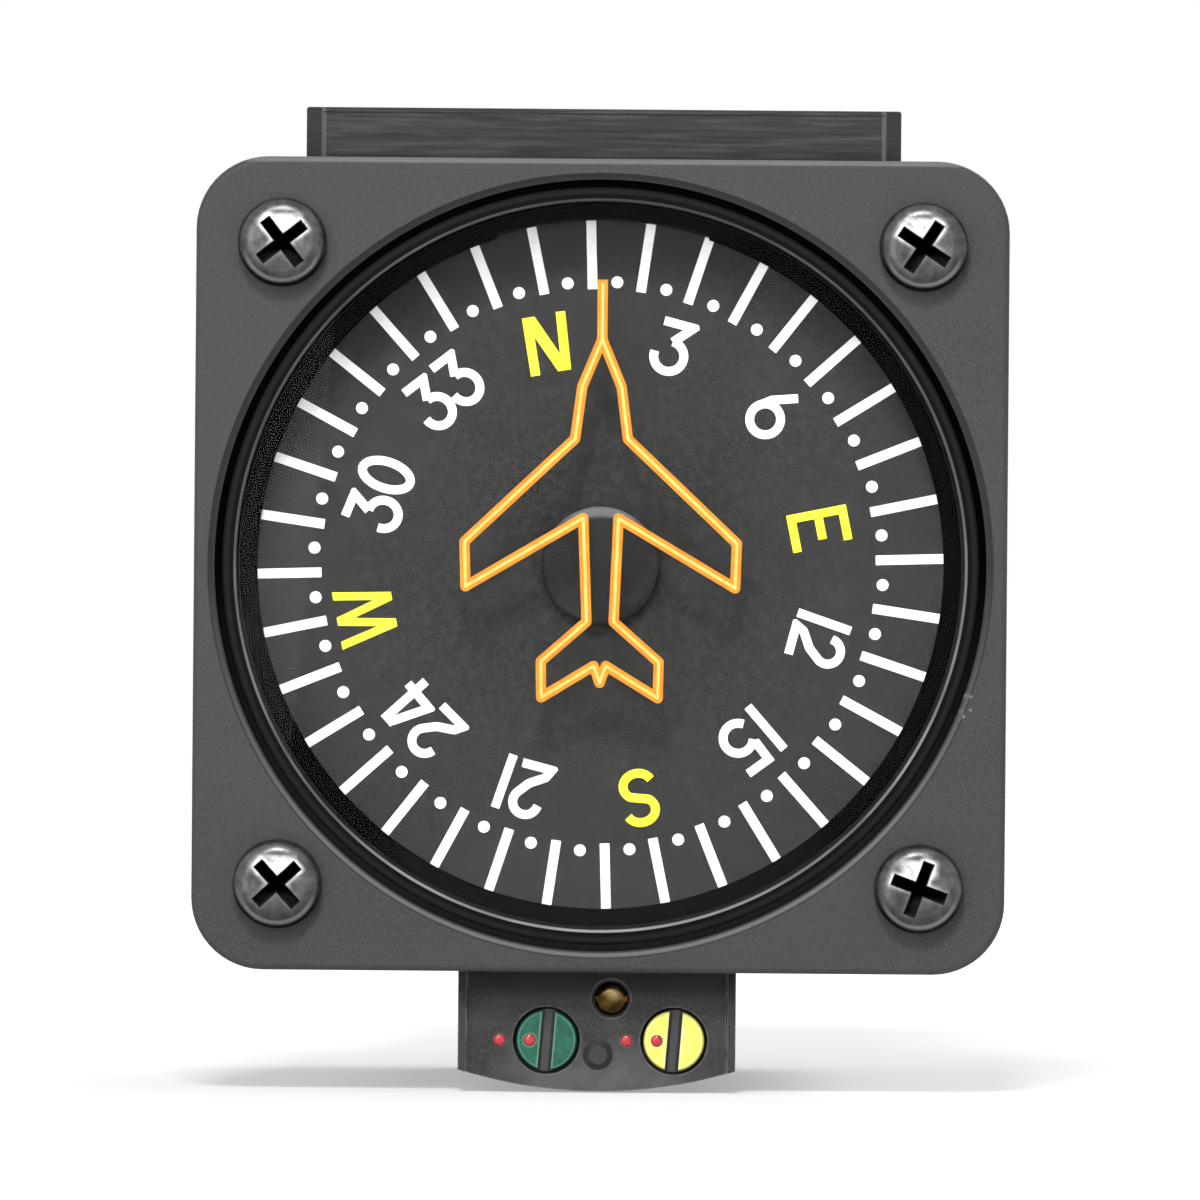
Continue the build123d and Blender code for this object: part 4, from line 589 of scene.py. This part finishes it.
def phenolic():
    """Brittle insulator with a coarse, cloudy grain."""
    made = Finish("insulator_finish", grey(56), Specular_IOR_Level=0.4)
    made.colour(made.blend(made.between(made.noise(700, detail=5), 0.35, 0.7), grey(46), grey(68)))
    made.rough(made.mottle(1200, 0.35, 0.5))
    made.relief(made.noise(2600), 0.00002, 0.4)
    return made.material


def clear_pane():
    """Flat, smooth instrument glass with a very faint uneven tint."""
    made = Finish("glass_finish", (1.0, 1.0, 1.0, 1.0), Transmission_Weight=1.0, IOR=1.12, Roughness=0.0)
    made.colour(made.blend(made.mottle(40, detail=2), (1.0, 1.0, 1.0, 1.0), (0.985, 0.99, 0.985, 1.0)))
    made.let_lamps_through()
    return made.material


def clear_plastic(name, tint):
    made = Finish(name, tint, Transmission_Weight=1.0, IOR=1.15)
    made.rough(made.mottle(400, 0.03, 0.12))
    made.let_lamps_through()
    return made.material


finishes = {
    "case_plastic": moulded_plastic(),
    "ring_black": ring_metal(),
    "glass": clear_pane(),
    "rubber": soft_rubber(),
    "mask_black": mask_metal(),
    "figure_paint": two_tone("figure_edge_finish", srgb(198, 112, 24), srgb(216, 132, 38), 0.1, 900, 2000,
                             (0.4, 0.55)).material,
    "cover_paint": cover_metal(),
    "black_screw": black_oxide(),
    "steel": turned_metal("steel_finish", grey(170), grey(205)),
    "brass": turned_metal("brass_finish", srgb(150, 116, 58), srgb(206, 170, 100)),
    "acrylic": clear_plastic("acrylic_finish", (0.05, 0.05, 0.055, 1.0)),
    "lamp_glass": clear_plastic("lamp_glass_finish", (0.95, 0.9, 0.8, 1.0)),
    "insulator": phenolic(),
    "wire": two_tone("wire_finish", srgb(140, 26, 22), srgb(172, 44, 36), 0.4, 900, 1600,
                     (0.4, 0.55)).material,
    "aluminium": turned_metal("aluminium_finish", grey(172), grey(206), 0.3, 0.45),
    "dial_black": dial_paint(),
    "magnet_alloy": turned_metal("magnet_finish", grey(112), grey(150), 0.4, 0.55),
    "copper": turned_metal("copper_finish", srgb(178, 100, 70), srgb(220, 150, 118)),
    "green_paint": enamel("green_finish", srgb(12, 78, 58), srgb(26, 106, 82), srgb(130, 186, 160),
                          GREEN_X),
    "yellow_paint": enamel("yellow_finish", srgb(252, 248, 104), srgb(255, 254, 140), srgb(255, 254, 206),
                           YELLOW_X),
    "block_paint": block_metal(),
}

for node in nodes.values():
    for place in node.material_slots:
        place.material = finishes[place.material.name.split(".")[0]]
nodes["compensator_clamp_screw"].material_slots[0].material = bronze_dome()
nodes["compensator_rivet"].material_slots[0].material = dark_rivet()
nodes["card_cap"].material_slots[0].material = cap_paint()


# Meshes

def piece_from(bm, name, material, body):
    """A finished mesh that rides on a body, with the given finish."""
    bmesh.ops.recalc_face_normals(bm, faces=bm.faces)
    mesh = bpy.data.meshes.new(name)
    bm.to_mesh(mesh)
    bm.free()
    mesh.materials.append(material)
    piece = bpy.data.objects.new(name, mesh)
    bpy.context.scene.collection.objects.link(piece)
    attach(piece, body)
    return piece


def turned_outline(points, angle, shift=(0.0, 0.0)):
    """Points turned clockwise by the angle, in degrees, about the dial axis, after the shift."""
    sine = math.sin(math.radians(angle))
    cosine = math.cos(math.radians(angle))
    turned = []
    for across, up in points:
        u = across + shift[0]
        v = up + shift[1]
        turned.append((u * cosine + v * sine, v * cosine - u * sine))
    return turned


def moved(points, shift):
    return [(x + shift[0], z + shift[1]) for x, z in points]


def stroke(points, width, closed=False):
    """The convex cells that cover a line of the width: one for each run, and one for each sharp corner."""
    half = width / 2
    line = [Vector(point) for point in points]
    if closed:
        line.append(line[0].copy())
    runs = len(line) - 1
    ways = [(line[i + 1] - line[i]).normalized() for i in range(runs)]
    sides = [Vector((-way.y, way.x)) for way in ways]
    starts = [[line[i] + sides[i] * half, line[i] - sides[i] * half] for i in range(runs)]
    ends = [[line[i + 1] + sides[i] * half, line[i + 1] - sides[i] * half] for i in range(runs)]
    cells = []
    joints = range(runs) if closed else range(1, runs)
    for after in joints:
        before = after - 1
        turn = ways[before].angle_signed(ways[after])
        corner = line[after]
        if abs(turn) < SMOOTH_TURN:
            lean = (sides[before] + sides[after]).normalized() * half / math.cos(turn / 2)
            shared = [corner + lean, corner - lean]
            ends[before] = shared
            starts[after] = shared
        else:
            outer = 1 if turn > 0 else -1
            reach = half * min(math.tan(abs(turn) / 2), CORNER_REACH)
            first = corner + sides[before] * half * outer
            last = corner + sides[after] * half * outer
            cells.append([corner, first, first + ways[before] * reach, last - ways[after] * reach, last])
    for start, end in zip(starts, ends):
        cells.append([start[0], end[0], end[1], start[1]])
    return cells


def turning(corners):
    """Twice the area inside the corners, below zero if they run clockwise."""
    return sum(one.cross(other) for one, other in zip(corners, corners[1:] + corners[:1]))


def plate(bm, cells, front, thickness):
    """Adds one closed plate that covers the cells, which may overlap, in millimetres, from front back."""
    flat = []
    faces = []
    for cell in cells:
        corners = [Vector(corner) for corner in cell]
        if turning(corners) < 0:
            corners.reverse()
        faces.append(list(range(len(flat), len(flat) + len(corners))))
        flat.extend(corners)
    joined, _, triangles, _, _, origins = delaunay_2d_cdt(flat, [], faces, 1, SAME_POINT)
    triangles = [triangle for triangle, cover in zip(triangles, origins) if cover]
    fronts = [bm.verts.new((point.x * MM, front * MM, point.y * MM)) for point in joined]
    backs = [bm.verts.new((point.x * MM, (front + thickness) * MM, point.y * MM)) for point in joined]
    sides = {}
    for a, b, c in triangles:
        bm.faces.new((fronts[a], fronts[b], fronts[c]))
        bm.faces.new((backs[c], backs[b], backs[a]))
        for one, other in ((a, b), (b, c), (c, a)):
            key = (min(one, other), max(one, other))
            sides[key] = None if key in sides else (one, other)
    for side in sides.values():
        if side is not None:
            one, other = side
            bm.faces.new((fronts[other], fronts[one], backs[one], backs[other]))
    loose = [vert for vert in bm.verts if not vert.link_faces]
    bmesh.ops.delete(bm, geom=loose, context="VERTS")


def arc(centre, radius, start, end, steps=14):
    """Points of an arc, in degrees anticlockwise from the right, or clockwise if end is less than start."""
    across, up = radius if isinstance(radius, tuple) else (radius, radius)
    points = []
    for step in range(steps + 1):
        angle = math.radians(start + (end - start) * step / steps)
        points.append((centre[0] + across * math.cos(angle), centre[1] + up * math.sin(angle)))
    return points


def bar(start, end, width=STROKE_W):
    return stroke([start, end], width)


def slanted(top, bottom, cut, high, low):
    """A slanting stroke with level ends, cut wide from top left and bottom left."""
    return [[(top, high), (top + cut, high), (bottom + cut, low), (bottom, low)]]


# Shapes of the figures: across from the middle, and up from the ring of figures, in millimetres

def figure_one():
    return bar((0, -2.05), (0.05, 2.1))


def figure_two():
    hook = arc((0.0, 0.98), 0.95, 180, -42, 12)
    return stroke([(1.12, -1.72), (-1.12, -1.86), (-0.85, -1.2), (0.2, -0.4), *reversed(hook)], STROKE_W)


def figure_three():
    top = stroke([(-1.15, 1.7), (1.1, 1.84), (-0.05, 0.38)], STROKE_W)
    return top + stroke(arc((0.0, -0.72), 1.12, 92, -184, 20), STROKE_W)


def narrow_three():
    """The three of a number of two figures."""
    top = stroke([(-1.0, 1.92), (0.78, 1.8), (-0.05, 0.4)], STROKE_W)
    return top + stroke(arc((0.02, -0.72), (1.05, 1.12), 92, -184, 20), STROKE_W)


def figure_four():
    slope = stroke([(0.15, 1.85), (-0.95, -0.86), (1.45, -0.9)], STROKE_W)
    return slope + bar((0.7, -2.0), (0.65, 2.2)) + bar((-0.1, 1.87), (0.8, 1.87))


def figure_five():
    top = stroke([(1.35, 1.72), (-0.5, 1.9), (-0.62, 0.22)], STROKE_W)
    return top + stroke(arc((0.18, -0.75), 1.12, 135, -152, 20), STROKE_W)


def figure_six():
    bowl = stroke(arc((0, -0.75), 1.15, 0, 345, 23), STROKE_W, closed=True)
    return bowl + stroke([(0.45, 2.1), (-0.75, 0.55), (-1.12, -0.55)], STROKE_W)


def figure_zero():
    return stroke(arc((0, 0), (0.98, 1.85), 0, 350, 35), STROKE_W, closed=True)


def letter_north():
    left = bar((-1.3, -2.15), (-1.24, 2.2), 0.7)
    right = bar((1.02, -2.1), (1.3, 2.25), 0.7)
    return left + right + slanted(-1.6, 0.4, 0.94, 2.2, -2.1)


def letter_east():
    cells = bar((-1.15, -2.25), (-1.15, 2.25), 0.64)
    for height, reach in ((1.93, 1.15), (0.08, 0.75), (-1.93, 1.35)):
        cells += bar((-1.2, height), (reach, height), 0.64)
    return cells


def letter_south():
    upper = arc((0.1, 0.88), (1.08, 0.92), 20, 230, 14)
    lower = arc((0.0, -0.92), (1.1, 0.95), 50, -160, 14)
    return stroke(upper + lower, 0.65)


def letter_west():
    cells = []
    for top, bottom in ((-2.26, -1.3), (-0.45, -1.3), (-0.45, 0.7), (1.46, 0.7)):
        cells += slanted(top, bottom, 0.6, 2.15, -2.15)
    return cells


FIGURES = {
    "0": figure_zero,
    "1": figure_one,
    "2": figure_two,
    "3": figure_three,
    "narrow 3": narrow_three,
    "4": figure_four,
    "5": figure_five,
    "6": figure_six,
}

# Each number: its name, its place on the card in degrees, its figures with the place of each across it, and
# how far its print is off its place, to the right and up
NUMBERS = [
    ("3", 30, [("3", -0.25)], (0.06, 0.03)),
    ("6", 60, [("6", -0.13)], (0.07, 0.05)),
    ("12", 120, [("1", -1.52), ("2", 0.5)], (-0.01, -0.09)),
    ("15", 150, [("1", -1.32), ("5", 0.6)], (0.08, -0.05)),
    ("21", 210, [("2", -0.4), ("1", 1.55)], (-0.16, -0.35)),
    ("24", 240, [("2", -1.35), ("4", 1.2)], (-0.41, -0.11)),
    ("30", 300, [("narrow 3", -1.6), ("0", 1.25)], (-0.18, 0.07)),
    ("33", 330, [("narrow 3", -1.53), ("narrow 3", 1.18)], (-0.19, 0.22)),
]

# Each letter stands a little off its place: its turn from the top, and how far it is from the axis
LETTERS = [
    ("north", letter_north, -13.77, 16.87, 3.6),
    ("east", letter_east, 80.12, 16.47, -1.7),
    ("south", letter_south, 169.86, 17.48, -1.4),
    ("west", letter_west, 257.84, 17.79, 1.0),
]

white_ink = print_ink("white_ink", grey(236), grey(250))
yellow_ink = print_ink("yellow_ink", srgb(238, 232, 40), srgb(250, 248, 62))
core_ink = print_ink("figure_core_finish", srgb(224, 164, 82), srgb(234, 178, 98))
dial_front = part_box("compass_card")[0].y / MM
print_front = dial_front - PRINT_T


def printed(name, cells, ink):
    bm = bmesh.new()
    plate(bm, cells, print_front, PRINT_T)
    return piece_from(bm, name, ink, "dial")


ticks = bmesh.new()
dots = bmesh.new()
for index in range(TICK_COUNT):
    step = 360 / TICK_COUNT
    angle = index * step - HEADING
    tick = bar((0, TICK_IN), (0, TICK_OUT), TICK_W)[0]
    plate(ticks, [moved(turned_outline(tick, angle), PRINT_SHIFT)], print_front, PRINT_T)
    dot = arc((0, DOT_RING_R), DOT_R, 0, 345, 23)
    plate(dots, [moved(turned_outline(dot, angle + step / 2), PRINT_SHIFT)], print_front, PRINT_T)
piece_from(ticks, "dial_ticks", white_ink, "dial")
piece_from(dots, "dial_dots", white_ink, "dial")

for name, degrees, figures, off in NUMBERS:
    cells = []
    for figure, across in figures:
        for cell in FIGURES[figure]():
            cells.append(moved(turned_outline(cell, degrees - HEADING, (across, LABEL_R)), off))
    printed(f"dial_number_{name}", cells, white_ink)

for name, shape, turn, radius, lean in LETTERS:
    cells = []
    middle = turned_outline([(0, radius)], turn)[0]
    for cell in shape():
        cells.append(moved(turned_outline(cell, turn + lean), middle))
    printed(f"dial_letter_{name}", cells, yellow_ink)


# Aircraft figure: a pale core line in front of its orange edges

def figure_core():
    figure = nodes["lubber_aircraft"]
    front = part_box("lubber_aircraft")[0].y
    bm = bmesh.new()
    bm.from_mesh(figure.data)
    bmesh.ops.remove_doubles(bm, verts=bm.verts, dist=SAME_CORNER * MM)
    not_front = [face for face in bm.faces if face.normal.y > FRONT_NORMAL]
    bmesh.ops.delete(bm, geom=not_front, context="FACES")
    bmesh.ops.dissolve_limit(bm, angle_limit=FLAT_TURN, verts=bm.verts, edges=bm.edges)
    ring = bmesh.ops.inset_region(bm, faces=bm.faces[:], thickness=CORE_INSET * MM, use_even_offset=True,
                                  use_boundary=True)
    bmesh.ops.delete(bm, geom=ring["faces"], context="FACES")
    bmesh.ops.triangulate(bm, faces=bm.faces)
    for vert in bm.verts:
        vert.co.y = front
    made = bmesh.ops.extrude_face_region(bm, geom=bm.faces[:])
    raised = [item for item in made["geom"] if isinstance(item, bmesh.types.BMVert)]
    for vert in raised:
        vert.co.y = front - CORE_T * MM
    return piece_from(bm, "aircraft_core_line", core_ink, "case")


figure_core()


# Red marks in the dimples of the adjusters and of their plate

def red_mark(name, x, z, seat, body):
    """A small drop of paint with a domed top, seated at y = seat."""
    around = 28
    rings = 6
    bm = bmesh.new()
    base = []
    for step in range(around):
        turn = 2 * math.pi * step / around
        base.append((math.cos(turn), math.sin(turn)))
    loops = []
    for ring in range(rings):
        rise = math.sin(math.pi / 2 * ring / rings)
        spread = math.cos(math.pi / 2 * ring / rings)
        y = (seat - RED_DOT_RISE * rise) * MM
        loops.append([
            bm.verts.new(((x + RED_DOT_R * spread * cosine) * MM, y, (z + RED_DOT_R * spread * sine) * MM))
            for cosine, sine in base
        ])
    for lower, upper in zip(loops, loops[1:]):
        for step in range(around):
            after = (step + 1) % around
            bm.faces.new((lower[step], lower[after], upper[after], upper[step]))
    bm.faces.new(loops[0])
    bm.faces.new(loops[-1])
    for face in bm.faces:
        face.smooth = len(face.verts) == 4
    return piece_from(bm, name, red, body)


red = two_tone("red_finish", srgb(176, 30, 42), srgb(214, 58, 66), 0.6, 2500, 3500, (0.15, 0.28)).material
plate_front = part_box("compensator_front_plate")[0].y / MM
for colour in ("green", "yellow"):
    low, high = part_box(f"{colour}_adjuster")
    axis_x = (low.x + high.x) / 2 / MM
    axis_z = (low.z + high.z) / 2 / MM
    red_mark(f"{colour}_head_mark", axis_x - RED_DOT_LEFT, axis_z, low.y / MM + DIMPLE_DEPTH,
             f"{colour}_adjuster_unit")
    red_mark(f"{colour}_plate_mark", axis_x - RED_PLATE_LEFT, axis_z, plate_front + DIMPLE_DEPTH, "case")


# Floor, world, lamps and camera: places in metres, turns in degrees

FLOOR_DROP = 0.0001
FLOOR_HALF = 2.5
AMBIENT = 0.36
GLOW_NEAR = 0.15
GLOW_FAR = 0.6
GLOW_BY_OBJECT = 0.35
GLOW_AFAR = 0.7
CAMERA_X = -0.000016
CAMERA_Z = -0.002537
LEAN = 0.47
CAMERA_Y = -0.9
VIEW_WIDTH = 0.08824
FACE_Y = -0.0035
SENSOR = 36.0

# Each lamp: its name, its place, its size and its share of full white
LAMPS = [
    ("key_lamp", (-0.04, -0.5, 0.44), 0.12, 0.6),
    ("front_lamp", (-0.3, -0.8, 0.25), 0.6, 0.32),
    ("back_lamp", (0.35, 0.6, 0.6), 0.5, 0.4),
]


def pale_floor():
    """White floor that keeps shadows: a diffuse part, and a glow that only the camera and mirrors see."""
    made = Finish("floor_finish", (0.82, 0.82, 0.82, 1.0), Roughness=0.9, Specular_IOR_Level=0.1)
    path = made.node("ShaderNodeLightPath")
    seen = made.maths("MAXIMUM", path.outputs["Is Camera Ray"], path.outputs["Is Glossy Ray"])
    seen = made.maths("MAXIMUM", seen, path.outputs["Is Transmission Ray"])
    glow = made.node("ShaderNodeEmission")
    glow.inputs["Color"].default_value = (1.0, 1.0, 1.0, 1.0)
    depth = made.maths("ABSOLUTE", made.split()["Y"])
    far = made.between(depth, GLOW_NEAR, GLOW_FAR, GLOW_BY_OBJECT, GLOW_AFAR)
    made.link(made.times(seen, far), glow.inputs["Strength"])
    both = made.node("ShaderNodeAddShader")
    made.link(made.shader.outputs[0], both.inputs[0])
    made.link(glow.outputs[0], both.inputs[1])
    made.link(both.outputs[0], made.output.inputs["Surface"])
    made.colour(made.blend(made.mottle(30), grey(229), grey(233)))
    return made.material


floor_z = cad_low.z - FLOOR_DROP
floor_bm = bmesh.new()
bmesh.ops.create_grid(floor_bm, x_segments=8, y_segments=8, size=FLOOR_HALF)
floor_mesh = bpy.data.meshes.new("floor")
floor_bm.to_mesh(floor_mesh)
floor_bm.free()
floor_mesh.materials.append(pale_floor())
floor = bpy.data.objects.new("floor", floor_mesh)
floor.location.z = floor_z
bpy.context.scene.collection.objects.link(floor)

world = bpy.data.worlds.new("studio")
world.use_nodes = True
bpy.context.scene.world = world
world_tree = world.node_tree
background = world_tree.nodes["Background"]
background.inputs["Color"].default_value = (1.0, 1.0, 1.0, 1.0)
world_path = world_tree.nodes.new("ShaderNodeLightPath")
seen = world_path.outputs["Is Camera Ray"]
for other in ("Is Glossy Ray", "Is Transmission Ray"):
    either = world_tree.nodes.new("ShaderNodeMath")
    either.operation = "MAXIMUM"
    world_tree.links.new(seen, either.inputs[0])
    world_tree.links.new(world_path.outputs[other], either.inputs[1])
    seen = either.outputs[0]
level = world_tree.nodes.new("ShaderNodeMapRange")
level.inputs["To Min"].default_value = AMBIENT
level.inputs["To Max"].default_value = 1.0
world_tree.links.new(seen, level.inputs["Value"])
world_tree.links.new(level.outputs["Result"], background.inputs["Strength"])


def lamp(name, place, size, share):
    """A square lamp aimed at the dial. Its share is the part of full white that a surface facing it gets."""
    data = bpy.data.lights.new(name, "AREA")
    data.shape = "SQUARE"
    data.size = size
    where = Vector(place)
    data.energy = share * math.pi ** 2 * where.length_squared
    made = bpy.data.objects.new(name, data)
    made.location = where
    made.rotation_euler = (-where).to_track_quat("-Z", "Y").to_euler()
    bpy.context.scene.collection.objects.link(made)


for name, place, size, share in LAMPS:
    lamp(name, place, size, share)

camera_data = bpy.data.cameras.new("camera")
camera_data.sensor_width = SENSOR
camera_data.lens = SENSOR * (FACE_Y - CAMERA_Y) / VIEW_WIDTH
camera_data.clip_start = 0.01
camera = bpy.data.objects.new("camera", camera_data)
camera.location = (CAMERA_X, CAMERA_Y, CAMERA_Z)
camera.rotation_euler = (math.pi / 2, -math.radians(LEAN), 0.0)
bpy.context.scene.collection.objects.link(camera)
bpy.context.scene.camera = camera
bpy.context.scene.view_settings.view_transform = "Standard"
